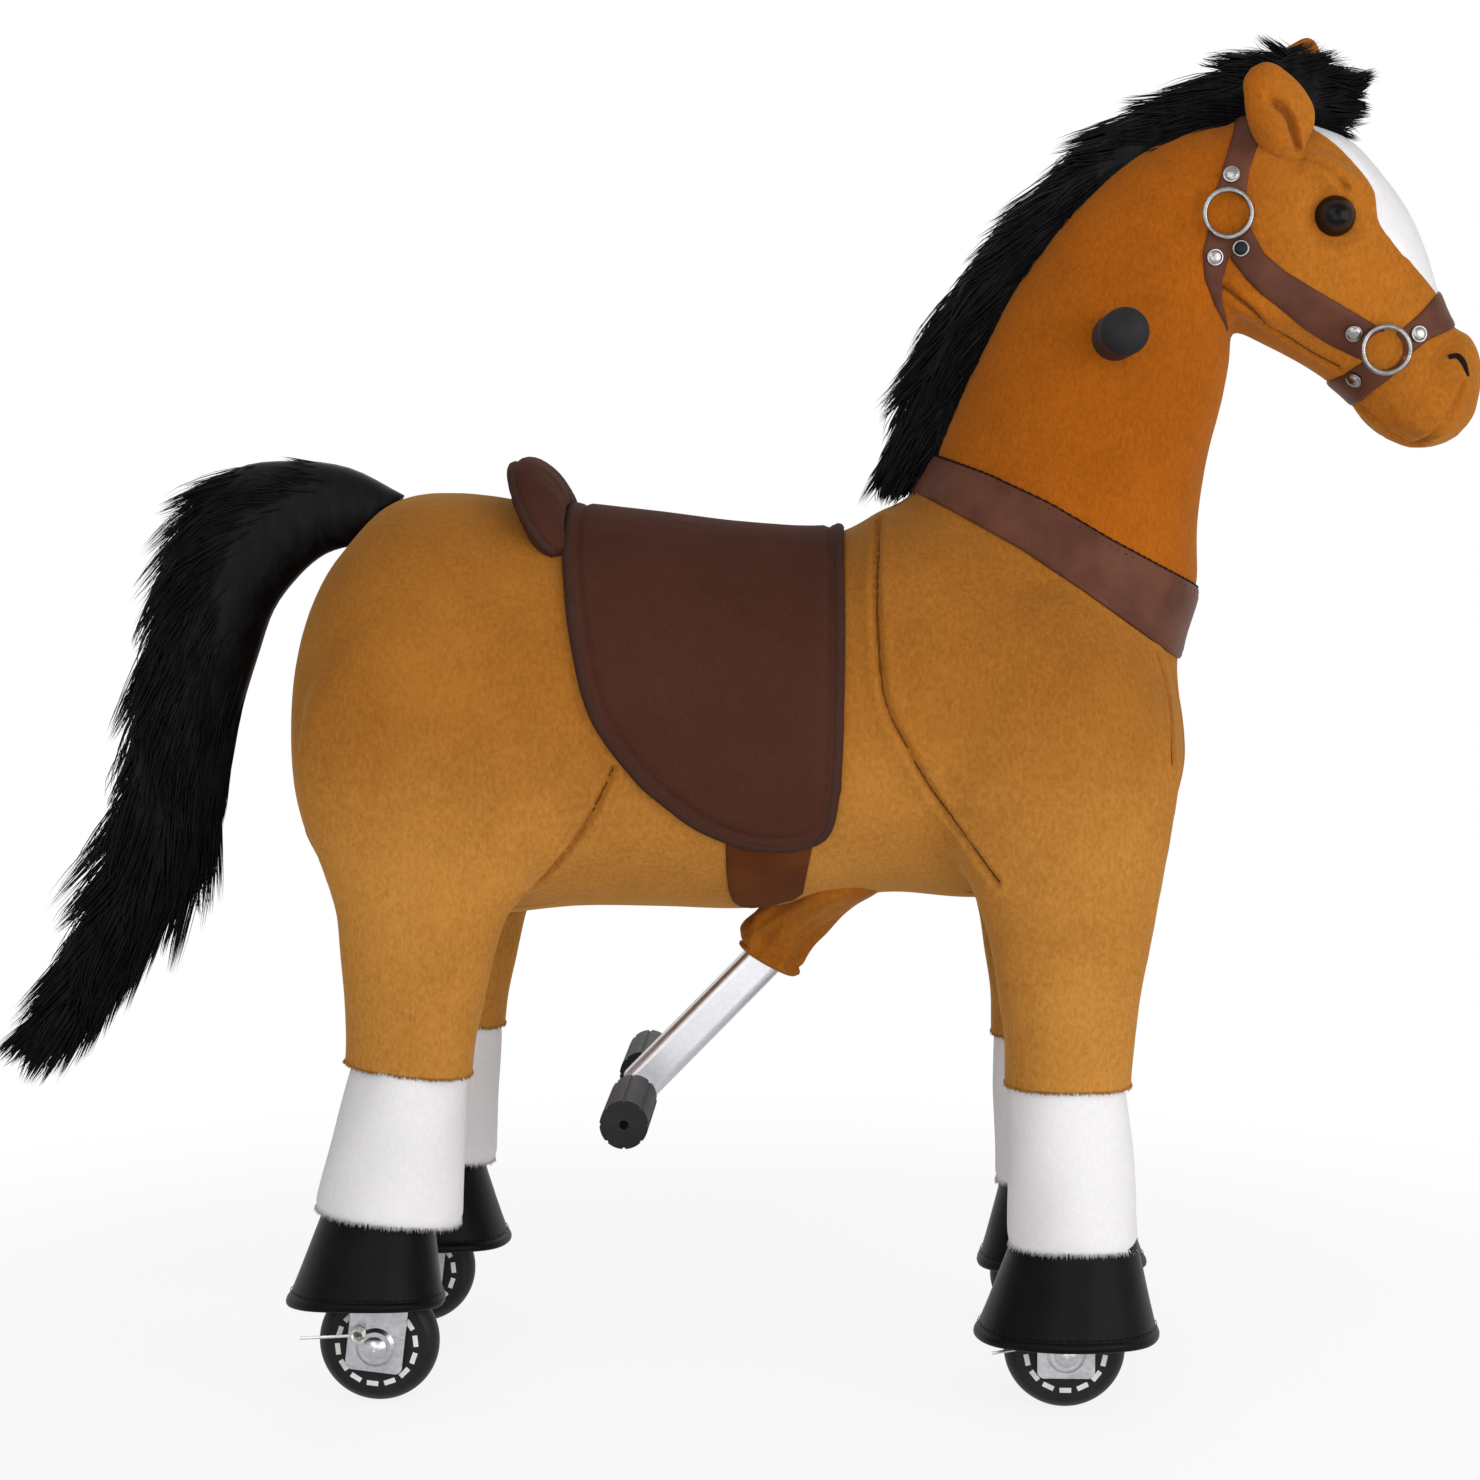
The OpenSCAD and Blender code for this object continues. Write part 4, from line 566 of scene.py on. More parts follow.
skin, skin_faces, skin_edges = fused(coat_parts, 3.6 * MM)
near_hip = np.zeros(len(skin))
for x, z in HIPS.values():
    reach = np.hypot(skin[:, 0] - x * MM, skin[:, 2] - z * MM)
    near_hip = np.maximum(near_hip, np.clip((HIP_REACH - reach) / HIP_FADE, 0, 1) * (np.abs(skin[:, 1]) > HIP_Y))
root_gap = np.abs(ROOT_AT[1] - skin[:, 2] + (ROOT_AT[0] - skin[:, 0]) * ROOT_SLOPE)
root = np.clip((ROOT_REACH - root_gap) / ROOT_FADE, 0, 1) * (skin[:, 0] > ROOT_X)
skin = relax(skin, skin_edges, 6)
skin = relax(skin, skin_edges, 60, np.maximum(near_hip, root), 0.55, -0.5)
for start, run, reach, fade, rounds in EVEN_LINES:
    gap = off_line(skin[:, 0], skin[:, 2], start, run)
    skin = relax(skin, skin_edges, rounds, np.clip((reach - gap) / fade, 0, 1), 0.5, 0.0)
throat_gap = np.hypot(skin[:, 0] - THROAT_AT[0], skin[:, 2] - THROAT_AT[1])
skin += np.exp(-(throat_gap / THROAT_REACH) ** 2)[:, None] * np.array(THROAT_MOVE) * MM

# The coat sinks in round each eye
eye_gap = np.hypot(skin[:, 0] - EYE_X, skin[:, 2] - EYE_Z)
eye_share = ease(np.clip((DENT_REACH - eye_gap) / DENT_FADE, 0, 1))
too_far = np.maximum(np.abs(skin[:, 1]) - (EYE_HIGH.y - EYE_STANDS), 0)
skin[:, 1] -= np.sign(skin[:, 1]) * eye_share * too_far
coat = BVHTree.FromPolygons([Vector(p) for p in skin], skin_faces)
# How far beside the horse a look at the coat starts, where it looks if it misses, in metres, and the least sideways
# share of a direction that is turned outward
BESIDE, NEAR_MIDDLE, STEEP = 0.4, 0.03, 0.3


def on_side(x, z, sign, lift=0.0):
    """Point of the coat seen from the side at x and z, in mm, with its outward direction."""
    hit, normal, *_ = coat.ray_cast(Vector((x * MM, sign * BESIDE, z * MM)), Vector((0, -sign, 0)))
    if hit is None:
        hit, normal, *_ = coat.find_nearest(Vector((x * MM, sign * NEAR_MIDDLE, z * MM)))
    if normal.y * sign < 0 and abs(normal.y) > STEEP:
        normal = -normal
    return hit + normal * lift * MM, normal


# Sewn lines of the side view, in mm, how deep each lies in the plush, and the border of the white blaze
SEAMS = {
    "shoulder": [(85, 496), (83, 464), (84, 431), (88, 398), (99, 374), (113, 349), (132, 322), (146, 303),
                 (150, 298)],
    "haunch": [(-61, 360), (-73, 335), (-89, 311), (-106, 294), (-116, 287)],
    "chest": [(241, 421), (246, 396), (246, 362)],
    "brow": [(319, 698), (332, 692), (344, 679)],
    "jaw": [(276.5, 625.5), (289, 615.5), (299.5, 607), (313.5, 599.5), (330, 589.5), (345, 581.5)],
    "mouth_low": [(359, 561), (375, 546.5), (390, 539)],
    "mouth_front": [(413, 572), (407, 558), (399, 546), (390, 539)],
}
SEAM_DEPTHS = {"shoulder": 3.8, "haunch": 4.2, "chest": 2.6, "brow": 3.0, "jaw": 2.8, "mouth_low": 3.2,
               "mouth_front": 2.6}
BLAZE = [(324, 727), (330, 716), (337, 710), (349, 697), (361, 681), (363, 663), (371, 652), (379, 643), (400, 623)]
BLAZE_LOW, BLAZE_HIGH, BLAZE_DEPTH = 622, 727, 0.9
SEAM_STEP = 1.2


def seam_line(points, sign):
    """Dense places on the coat along a line of the side view."""
    rows = smooth_rows(points, 12)
    places = []
    for a, b in zip(rows[:-1], rows[1:]):
        count = max(1, int(np.hypot(*(b - a)) / SEAM_STEP))
        places += [a + (b - a) * k / count for k in range(count)]
    return [on_side(x, z, sign)[0] for x, z in places]


def blaze_side(points):
    """Signed distance in mm from the border of the white blaze, negative inside it."""
    x, _, z = points.T / MM
    line = smooth_rows(BLAZE, 6)
    best = np.full(len(points), 1e9)
    sign = np.ones(len(points))
    for (ax, az), (bx, bz) in zip(line[:-1], line[1:]):
        dx, dz = bx - ax, bz - az
        gap = off_line(x, z, (ax, az), (dx, dz))
        over = (x - ax) * dz - (z - az) * dx
        nearer = gap < best
        best = np.where(nearer, gap, best)
        sign = np.where(nearer, np.where(over > 0, 1, -1), sign)
    return np.maximum.reduce([sign * best, BLAZE_LOW - z, z - BLAZE_HIGH])


# The cut round each hip, in mm: radius, lower end inside and outside the bend, which way is out, and the x where a
# leg can start. Then where the rise to the outer end starts and how long it is, how softly round and straight meet,
# the inner wall of the legs and the height below which all is leg
LEG_ROOM = {"front": (88.0, 281.0, 306.0, 1.0, 60.0), "rear": (88.0, 276.0, 313.0, -1.0, -40.0)}
RISE_FROM, RISE_RUN, SOFT_CORNER = 10.0, 45.0, 60.0
INNER_Y, FREE_Z = 46.0, 250.0
HEM_DROP = {"front": 182.5, "rear": 174.5}


def leg_side(points):
    """Signed distance in mm from the cut round the legs, negative on a leg."""
    x, y, z = points.T / MM
    out = np.full(len(points), 1e3)
    for pair, (hx, hz) in HIPS.items():
        radius, low, outer_low, way, start = LEG_ROOM[pair]
        reach = np.hypot(x - hx, z - hz) - radius
        line = low + (outer_low - low) * ease(np.clip((way * (x - hx) - RISE_FROM) / RISE_RUN, 0, 1))
        fade = np.clip(0.5 + (z - line - reach) / SOFT_CORNER, 0, 1)
        joined = (z - line) * (1 - fade) + reach * fade - SOFT_CORNER / 2 * fade * (1 - fade)
        own = np.minimum(np.maximum(joined, INNER_Y - np.abs(y)), z - FREE_Z)
        out = np.where(way * (x - start) > 0, np.minimum(out, own), out)
    return out


def hem_side(points):
    """Height in mm over the plane where a leg's plush ends on its sock."""
    x, _, z = points.T / MM
    (_, front_z), (rear_x, rear_z) = HIPS.values()
    front = z - front_z + HEM_DROP["front"]
    rear = (x - rear_x) * math.sin(REAR_LEAN) + (z - rear_z) * math.cos(REAR_LEAN) + HEM_DROP["rear"]
    return np.where(x > 0, front, rear)


# A cut this close to a corner, as a share of the edge, goes through the corner
SNAP_SHARE = 0.08


def slice_along(cloth, field):
    """Cuts the faces of a bmesh where a field of its points is zero; the line runs through corners close to it."""
    values = field(np.array([v.co for v in cloth.verts]))
    level = {v: values[i] for i, v in enumerate(cloth.verts)}
    fresh = []
    for edge in list(cloth.edges):
        a, b = edge.verts
        if level[a] * level[b] < 0:
            share = level[a] / (level[a] - level[b])
            if share < SNAP_SHARE:
                level[a] = 0.0
                fresh.append(a)
            elif share > 1 - SNAP_SHARE:
                level[b] = 0.0
                fresh.append(b)
            else:
                split = bmesh.utils.edge_split(edge, a, share)[1]
                level[split] = 0.0
                fresh.append(split)
    bmesh.ops.connect_verts(cloth, verts=list(dict.fromkeys(fresh)))


def split_large(cloth):
    """Turns faces of more than four corners into triangles."""
    bmesh.ops.triangulate(cloth, faces=[f for f in cloth.faces if len(f.verts) > 4])


# A seam's groove, in mm: how far it reaches and how far the mesh is refined, and half its width; then height, place
# and width of the swelling beside it, as a share of its depth
GROOVE_REACH, GROOVE_FINE, GROOVE_HALF = 12, 7, 1.7
SWELL, SWELL_AT, SWELL_HALF = 0.35, 4.5, 3


def groove(gap):
    """Share of a seam's depth at a distance from it."""
    return math.exp(-(gap / GROOVE_HALF) ** 2) - SWELL * math.exp(-((gap - SWELL_AT) / SWELL_HALF) ** 2)


cloth = bmesh.new()
for p in skin:
    cloth.verts.new(p)
cloth.verts.ensure_lookup_table()
for f in skin_faces:
    cloth.faces.new([cloth.verts[i] for i in f])
for field in (blaze_side, leg_side, hem_side):
    slice_along(cloth, field)
split_large(cloth)

seam_points, seam_depth = [], []
for line, depth in [(SEAMS[name], SEAM_DEPTHS[name]) for name in SEAMS] + [(BLAZE[1:-1], BLAZE_DEPTH)]:
    for sign in SIDES.values():
        places = seam_line(line, sign)
        seam_points += places
        seam_depth += [depth] * len(places)
seam_finder = finder_of(seam_points)
close = {v for v in cloth.verts if seam_finder.find(v.co)[2] < GROOVE_FINE * MM}
near_edges = [e for e in cloth.edges if e.verts[0] in close and e.verts[1] in close]
bmesh.ops.subdivide_edges(cloth, edges=near_edges, cuts=1, use_grid_fill=True)
split_large(cloth)
cloth.normal_update()
middles = np.array([f.calc_center_median() for f in cloth.faces])
moves = []
for v in cloth.verts:
    _, k, gap = seam_finder.find(v.co)
    if gap / MM < GROOVE_REACH:
        drop = seam_depth[k] * groove(gap / MM)
        moves.append((v, v.co - v.normal * drop * MM))
for v, place in moves:
    v.co = place
cloth.normal_update()

cloth.verts.index_update()
cloth_points = np.array([v.co for v in cloth.verts])
cloth_normals = np.array([v.normal for v in cloth.verts])
cloth_faces = [tuple(v.index for v in f.verts) for f in cloth.faces]
on_leg = (leg_side(middles) < 0) & (hem_side(middles) > 0)
on_coat = (leg_side(middles) >= 0) & (hem_side(middles) > 0)
on_blaze = blaze_side(middles) < 0
cloth.free()


# Points this close to the cut, in mm, lie on it
CUT_WIDTH = 1.5


def cut_piece(name, chosen, finish, wall=None):
    """The chosen faces of the coat as a piece that keeps the whole coat's shading.

    wall(points) gives where the cut edge round a leg ends inside, and the end is closed there."""
    faces = [cloth_faces[i] for i in np.flatnonzero(chosen)]
    used = sorted({i for f in faces for i in f})
    index = {old: new for new, old in enumerate(used)}
    points = [tuple(cloth_points[i]) for i in used]
    normals = [tuple(cloth_normals[i]) for i in used]
    faces = [tuple(index[i] for i in f) for f in faces]
    loops = []
    if wall:
        at_cut = np.abs(leg_side(np.array(points))) < CUT_WIDTH
        border = sorted((a, b) for a, b in border_of(faces) if at_cut[a] and at_cut[b])
        edge_points = sorted({i for e in border for i in e})
        ends = wall(np.array([points[i] for i in edge_points]))
        rim = {i: len(points) + k for k, i in enumerate(edge_points)}
        points += [points[i] for i in edge_points]
        end = {i: len(points) + k for k, i in enumerate(edge_points)}
        points += [tuple(p) for p in ends]
        for a, b in border:
            faces.append((rim[b], rim[a], end[a], end[b]))
        groups = {}
        for a, b in border:
            x, y, _ = points[a]
            groups.setdefault((x > BETWEEN_PAIRS, y > 0), []).append((end[a], end[b]))
        loops = list(groups.values())
    piece = make_piece(name, points, faces, finish)
    mesh = piece.data
    if loops:
        form = bmesh.new()
        form.from_mesh(mesh)
        form.verts.ensure_lookup_table()
        for loop in loops:
            edges = [form.edges.get((form.verts[a], form.verts[b])) for a, b in loop]
            bmesh.ops.triangle_fill(form, edges=[e for e in edges if e], use_beauty=True)
        bmesh.ops.recalc_face_normals(form, faces=[f for f in form.faces if f.index >= len(faces)])
        for f in form.faces:
            f.smooth = True
        form.to_mesh(mesh)
        form.free()
    given = [(0.0, 0.0, 0.0)] * len(mesh.vertices)
    given[:len(normals)] = normals
    mesh.normals_split_custom_set_from_vertices(given)
    return piece


def is_pair(points, pair):
    """Which points belong to the front or the rear pair of legs."""
    return (points[:, 0] > BETWEEN_PAIRS) == (pair == "front")


def hip_wall(y_end, outward):
    """Where a cut edge ends inside: on a plane beside the middle, drawn a little away from its hip or towards it."""
    def wall(points):
        out = points.copy()
        out[:, 1] = np.sign(points[:, 1]) * y_end * MM
        for pair, hip in HIPS.items():
            own = is_pair(points, pair)
            out[np.ix_(own, (0, 2))] += unit(points[own][:, (0, 2)] - np.array(hip) * MM) * outward * MM
        return out
    return wall


body_wall, leg_wall = hip_wall(44.0, 1.2), hip_wall(48.5, -1.0)
body_coat = cut_piece("body_coat", on_coat & ~on_blaze, tan_plush, body_wall)
blaze = cut_piece("blaze", on_blaze, white_plush)
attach(body_coat, "chassis")
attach(blaze, "chassis")
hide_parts("trunk", "belly_panel", "neck", "head")

for pair in HIPS:
    for side, sign in SIDES.items():
        chosen = on_leg & is_pair(middles, pair) & (middles[:, 1] * sign > 0)
        leg = cut_piece(f"{pair}_leg_plush_{side}", chosen, tan_plush, leg_wall)
        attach(leg, f"{pair}_legs")
        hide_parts(f"{pair}_leg_{side}")


# Feet: white plush socks over flared vinyl hooves

def leg_place(pair, sign, points):
    """Points given from the hip down one leg, in mm, at their place in the frame."""
    points = np.array(points, float)
    hx, hz = HIPS[pair]
    lean = REAR_LEAN if pair == "rear" else 0.0
    x = points[:, 0] * math.cos(lean) + points[:, 2] * math.sin(lean)
    z = points[:, 2] * math.cos(lean) - points[:, 0] * math.sin(lean)
    return np.stack([hx + x, sign * LEG_Y + points[:, 1], hz + z], 1) * MM


def turned(profile, sides, wobble):
    """Rings of a turned form from rows of radius and height, in mm; wobble(angle, height) adds to the radius."""
    t = angles(sides)
    rings = []
    for r, h in profile:
        radius = r + wobble(t, h)
        rings.append(np.stack([radius * np.cos(t), radius * np.sin(t), np.full(sides, h)], 1))
    return rings


# Radius and height of sock and hoof from the hip down, in mm
SOCK_PROFILE = [(29.0, -181), (31.6, -183), (32.4, -186), (33.0, -192), (33.8, -205), (34.6, -220), (35.2, -235),
                (35.7, -250), (36.0, -262), (36.2, -270), (36.0, -275), (34.8, -278.5), (32.5, -279), (30.5, -276)]
HOOF_PROFILE = [(30.0, -270), (33.2, -272), (33.9, -276), (35.4, -284), (38.0, -296), (40.6, -308), (43.2, -319),
                (44.6, -324.4), (45.6, -325.6), (46.4, -327.4), (46.3, -329.6), (45.2, -330.6), (43.9, -329.6),
                (43.0, -326), (40.6, -316), (36.0, -296), (31.5, -278)]
HOOF_STITCH = (44.9, -323.2)
SOCK_TOP, SOCK_RUN, SOCK_HALF = -183, 92, 38
HOOF_TOP, HOOF_RUN, HOOF_HALF = -272, 58, 48
CREASE_TOP, CREASE_RUN = -280, 45
# How much wider, higher and shorter the hind socks are than the front ones
REAR_WIDER, REAR_HIGHER, REAR_SHORTER = 5.2, 8, 7
# Shift along the leg's front, rise, and rise of the sides of each sock's hem
SOCK_SEATS = {"front": (4.8, 4.0, 2.5), "rear": (-3.0, 4.5, 2.5)}
# Shift of top and hem, rise, growth of top and hem, and rise of the sides of each hoof
HOOF_SEATS = {
    ("front", "right"): (5.5, 1.2, 3.0, 1.2, 5.6, 3.2), ("front", "left"): (8.0, 9.0, 3.5, 1.2, 5.6, 3.2),
    ("rear", "right"): (-8.0, -10.0, 18.5, -3.4, -2.0, 5.5), ("rear", "left"): (-2.0, 8.0, 15.0, -1.5, 0.0, 3.5)}


def sock_share(height):
    """How far down the sock a height is, from 0 to 1."""
    return np.clip((SOCK_TOP - height) / SOCK_RUN, 0, 1)


def seat_sock(points, pair):
    """The sock's hem moved along the leg and up, a little higher at its sides."""
    shift, rise, arch = SOCK_SEATS[pair]
    down = sock_share(points[:, 2])
    up = rise * down + arch * (points[:, 1] / SOCK_HALF) ** 2 * down ** 4
    return points + np.stack([shift * down, 0 * down, up], 1)


def seat_hoof(points, pair, side):
    """The hoof moved, raised and flared between its top and its hem; the hem lies level."""
    top, hem, rise, wide_top, wide_hem, arch = HOOF_SEATS[pair, side]
    level = math.tan(REAR_LEAN) if pair == "rear" else 0.0
    down = np.clip((HOOF_TOP - points[:, 2]) / HOOF_RUN, 0, 1)
    grow = (wide_top + (wide_hem - wide_top) * down) / np.maximum(np.hypot(points[:, 0], points[:, 1]), 1)
    x, y = points[:, 0] * (1 + grow), points[:, 1] * (1 + 0.5 * grow)
    z = points[:, 2] + rise + down * (arch * (y / HOOF_HALF) ** 2 + x * level)
    return np.stack([x + top + (hem - top) * down, y, z], 1)


def stitches(path, length, gap, radius):
    """Short raised stitches along a path of points in metres; their sizes are in mm."""
    path = np.array(path)
    length, gap, radius = length * MM, gap * MM, radius * MM
    runs = np.r_[0, np.cumsum(np.linalg.norm(np.diff(path, axis=0), axis=1))]
    parts = []
    at = gap
    while at + length < runs[-1]:
        places = np.array([[np.interp(at + length * k / 3, runs, path[:, i]) for i in range(3)] for k in range(4)])
        parts.append(tube(places, radius * np.array([0.45, 1, 1, 0.45]), 5))
        at += length + gap
    return parts


def tube(path, radius, sides=8, flat=1.0, facing=None):
    """Round cord along a path in metres; flat squeezes it along facing, the outward directions."""
    path = np.array(path, float)
    n = len(path)
    radius = np.broadcast_to(np.array(radius, float), (n,))
    run = unit(np.gradient(path, axis=0))
    if facing is None:
        facing = np.where(np.abs(run[:, 2:]) < 0.9, [(0.0, 0.0, 1.0)], [(1.0, 0.0, 0.0)])
    side = unit(np.cross(run, facing))
    out = np.cross(side, run)
    t = angles(sides)
    rings = [path[k] + radius[k] * (np.cos(t)[:, None] * side[k] + flat * np.sin(t)[:, None] * out[k])
             for k in range(n)]
    return loft(rings)


# How deep a hem's hairs are set, half their width and their thickness, in mm
HAIR_SINK, HAIR_HALF, HAIR_THICK = 0.5, 0.35, 0.7


def fringe(line, down, count, length, seed):
    """Short hairs that stand off a hem, along a closed line of points."""
    out = unit(line - line.mean(0))
    rng = np.random.default_rng(seed)
    n = len(line)
    at = rng.random(count) * n
    i = at.astype(int) % n
    k, f = (i + 1) % n, (at - at.astype(int))[:, None]
    root = line[i] * (1 - f) + line[k] * f
    way = down + out[i] * rng.normal(0.16, 0.16, (count, 1)) + rng.normal(0, 0.16, (count, 3))
    tip = root + way * length * MM * rng.uniform(0.45, 1.1, (count, 1))
    along = unit(line[k] - line[i])
    root = root - out[i] * HAIR_SINK * MM
    half = along * HAIR_HALF * MM
    corners = np.stack([root - half, root + half, root + out[i] * HAIR_THICK * MM, tip], 1)
    faces = [(4 * c + a, 4 * c + b, 4 * c + 3) for c in range(count) for a, b in ((0, 1), (1, 2), (2, 0))]
    return [tuple(p) for p in corners.reshape(-1, 3)], faces


SOCK_HEM_RING = -8
for pair in HIPS:
    lean = REAR_LEAN if pair == "rear" else 0.0
    axis = np.array([math.sin(lean), 0.0, math.cos(lean)])
    for side, sign in SIDES.items():
        phase = 3.0 * (pair == "rear") + 1.7 * (sign > 0)

        def plump(t, h):
            return 0.45 * np.sin(3 * t + h * 0.05 + phase) + 0.3 * np.sin(5 * t - h * 0.09 + 2 * phase)

        def creased(t, h):
            fall = min(1.0, max(0.0, (CREASE_TOP - h) / CREASE_RUN))
            return fall * (0.55 * np.sin(3 * t + phase) + 0.35 * np.sin(7 * t + 1.3 * phase))

        profile = smooth_rows(SOCK_PROFILE, 3)
        if pair == "rear":
            down = sock_share(profile[:, 1])
            profile[:, 0] += REAR_WIDER * down ** 1.5
            profile[:, 1] += REAR_HIGHER + REAR_SHORTER * down
        rings = [leg_place(pair, sign, seat_sock(ring, pair)) for ring in turned(profile, 64, plump)]
        sock = make_piece(f"{pair}_sock_plush_{side}", *merge([
            loft(rings), fringe(rings[SOCK_HEM_RING], -axis, count=1800, length=3.4, seed=21)]), white_plush)
        at_hem = np.abs(hem_side(cloth_points)) < 0.02
        hem = cloth_points[at_hem & (cloth_points[:, 1] * sign > 0) & is_pair(cloth_points, pair)]
        hem = hem[np.argsort(np.arctan2(hem[:, 1] - sign * LEG_Y * MM, hem[:, 0] - hem[:, 0].mean()))]
        fuzz = make_piece(f"{pair}_hem_fuzz_{side}", *fringe(hem, -axis, count=1400, length=2.4, seed=22), tan_plush)
        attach(fuzz, f"{pair}_legs")
        rings = [leg_place(pair, sign, seat_hoof(ring, pair, side))
                 for ring in turned(smooth_rows(HOOF_PROFILE, 3), 72, creased)]
        thread = leg_place(pair, sign, seat_hoof(turned([HOOF_STITCH], 120, creased)[0], pair, side))
        sewn = stitches(np.vstack([thread, thread[:1]]), length=3.2, gap=1.3, radius=0.35)
        hoof = make_piece(f"{pair}_hoof_vinyl_{side}", *merge([loft(rings)] + sewn), hoof_vinyl)
        for piece, slot, node in ((sock, "plush_white", "sock"), (hoof, "hoof_vinyl", "hoof")):
            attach(piece, f"{pair}_legs")
            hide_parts(f"{pair}_{node}_{side}")


# Long hair: mane, forelock and tail

# Root x, z, outer x, z and half width of each core, in mm
MANE_ROWS = [
    (126, 520, 90, 518, 6), (129, 529, 91, 533, 14), (134, 547, 100, 553, 16), (144, 568, 107, 585, 17),
    (159, 600, 127, 624, 18), (179, 634, 155, 658, 18), (202, 661, 184, 690, 18), (233, 689, 219, 719, 18),
    (264, 703, 259, 739, 17), (290, 711, 289, 753, 16), (310, 708, 311, 758, 15), (324, 705, 327, 755, 12),
    (333, 704, 336, 746, 7)]
FORELOCK_ROWS = [
    (280, 714, 280, 744, 8), (296, 715, 296, 754, 13), (313, 715, 315, 759, 16), (327, 712, 332, 757, 17),
    (334, 713, 343, 749, 15), (339, 721, 348, 742, 7)]
TAIL_ROWS = [
    (-190, 510, -216, 482, 15), (-222, 526, -236, 476, 20), (-256, 530, -252, 463, 23), (-289, 525, -267, 443, 25),
    (-313, 501, -277, 415, 26), (-331, 453, -287, 383, 26), (-343, 403, -294, 352, 25), (-355, 341, -305, 304, 23),
    (-374, 275, -333, 263, 19), (-396, 224, -363, 219, 13), (-412, 199, -388, 192, 6)]


# Width along a strand, how deep its root lies in mm, how far it lifts off the core at least, and the share of
# strands that gather others
TAPER, ROOT_SINK, LEAST_LIFT, LEADERS = (0.8, 1.0, 0.85, 0.5, 0.03), 1.2, 0.1, 0.03


def hair_piece(name, rows, flow, count, length, width, stray, droop, clump, seed, fade):
    """A dark core under combed, tapering locks that gather into tufts at their tips.

    flow gives their direction from the core's run, its outer side, its normal and the place along it; fade is the
    share of the length along the core."""
    rng = np.random.default_rng(seed)
    fine = smooth_rows(rows, 4)
    rings = np.array([section(row, 24, 2.0) for row in fine])
    core = loft(list(rings))
    m, n = rings.shape[:2]
    spine = rings.mean(1)
    run = unit(np.gradient(spine, axis=0))
    u, v = rng.random(count) * (m - 1.001), rng.random(count) * n
    i, j = u.astype(int), v.astype(int)
    fu, fv = (u - i)[:, None], (v - j)[:, None]
    k = (j + 1) % n
    roots = (rings[i, j] * (1 - fu) + rings[i + 1, j] * fu) * (1 - fv) + (
        rings[i, k] * (1 - fu) + rings[i + 1, k] * fu) * fv
    middle = spine[i] * (1 - fu) + spine[i + 1] * fu
    normal = roots - middle
    normal = unit(normal - run[i] * (normal * run[i]).sum(1)[:, None])
    high = fine[i, 2:4] - fine[i, 0:2]
    outward = unit(np.stack([high[:, 0], np.zeros(count), high[:, 1]], 1))
    way = flow(run[i], outward, normal, u / (m - 1)) + rng.normal(0, stray, (count, 3))
    way = unit(way + normal * np.maximum(LEAST_LIFT - (way * normal).sum(1), 0)[:, None])
    size = length * (0.5 + 0.8 * rng.random(count)) * np.interp(u / (m - 1), *fade) * MM
    roots = roots - ROOT_SINK * MM * normal
    t = np.linspace(0, 1, len(TAPER))
    curve = roots[:, None] + way[:, None] * (size[:, None] * t)[..., None] + (
        droop * size[:, None] * t ** 2)[..., None] * np.array([0, 0, -1.0])
    leaders = rng.choice(count, max(4, int(count * LEADERS)), replace=False)
    finder = finder_of(roots[leaders])
    own = leaders[[finder.find(p)[1] for p in roots]]
    curve += (curve[own] - curve) * (clump * t ** 1.7)[None, :, None]
    taper = width * MM * (0.7 + 0.6 * rng.random(count))[:, None, None] * np.array(TAPER)[:, None]
    across = unit(np.cross(way, normal))[:, None] * taper
    corners = np.stack([curve + across, curve - across, curve + normal[:, None] * taper * 0.7], 2).reshape(-1, 3)
    faces = []
    for strand in range(count):
        for level in range(len(TAPER) - 1):
            a = (strand * len(TAPER) + level) * 3
            for c in range(3):
                d = (c + 1) % 3
                faces.append((a + c, a + d, a + 3 + d, a + 3 + c))
    piece = make_piece(name, *merge([core, ([tuple(p) for p in corners], faces)]), black_fur)
    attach(piece, "chassis")
    return piece


def mane_flow(run, outward, normal, u):
    """Back down the neck and a little out."""
    return -run + outward * 0.28


def forelock_flow(run, outward, normal, u):
    """Forward over the brow and up."""
    return run + outward * (0.36 - 0.06 * u[:, None])


def tail_flow(run, outward, normal, u):
    """Down the tail, spreading at its rear edge."""
    to_edge = np.clip(-(normal * outward).sum(1), 0, 1)[:, None]
    return run - outward * 0.42 * to_edge * np.clip(u[:, None] * 4 - 0.6, 0, 1)


mane = hair_piece("mane_hair", MANE_ROWS, mane_flow, count=5600, length=38, width=0.8, stray=0.07, droop=0.06,
                  clump=0.6, seed=11, fade=((0, 0.15, 0.6, 1), (0.32, 1, 1, 0.7)))
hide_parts("mane")
forelock = hair_piece("forelock_hair", FORELOCK_ROWS, forelock_flow, count=2200, length=24, width=0.75, stray=0.08,
                      droop=0.02, clump=0.55, seed=12, fade=((0, 1), (1, 0.85)))
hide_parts("forelock")
tail = hair_piece("tail_hair", TAIL_ROWS, tail_flow, count=6800, length=50, width=0.8, stray=0.07, droop=0.05,
                  clump=0.6, seed=13, fade=((0, 0.1, 0.75, 1), (0.7, 1, 1, 0.7)))
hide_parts("tail")


# Ears: a stuffed leaf with a fold, its outline and fold in the side view, in mm

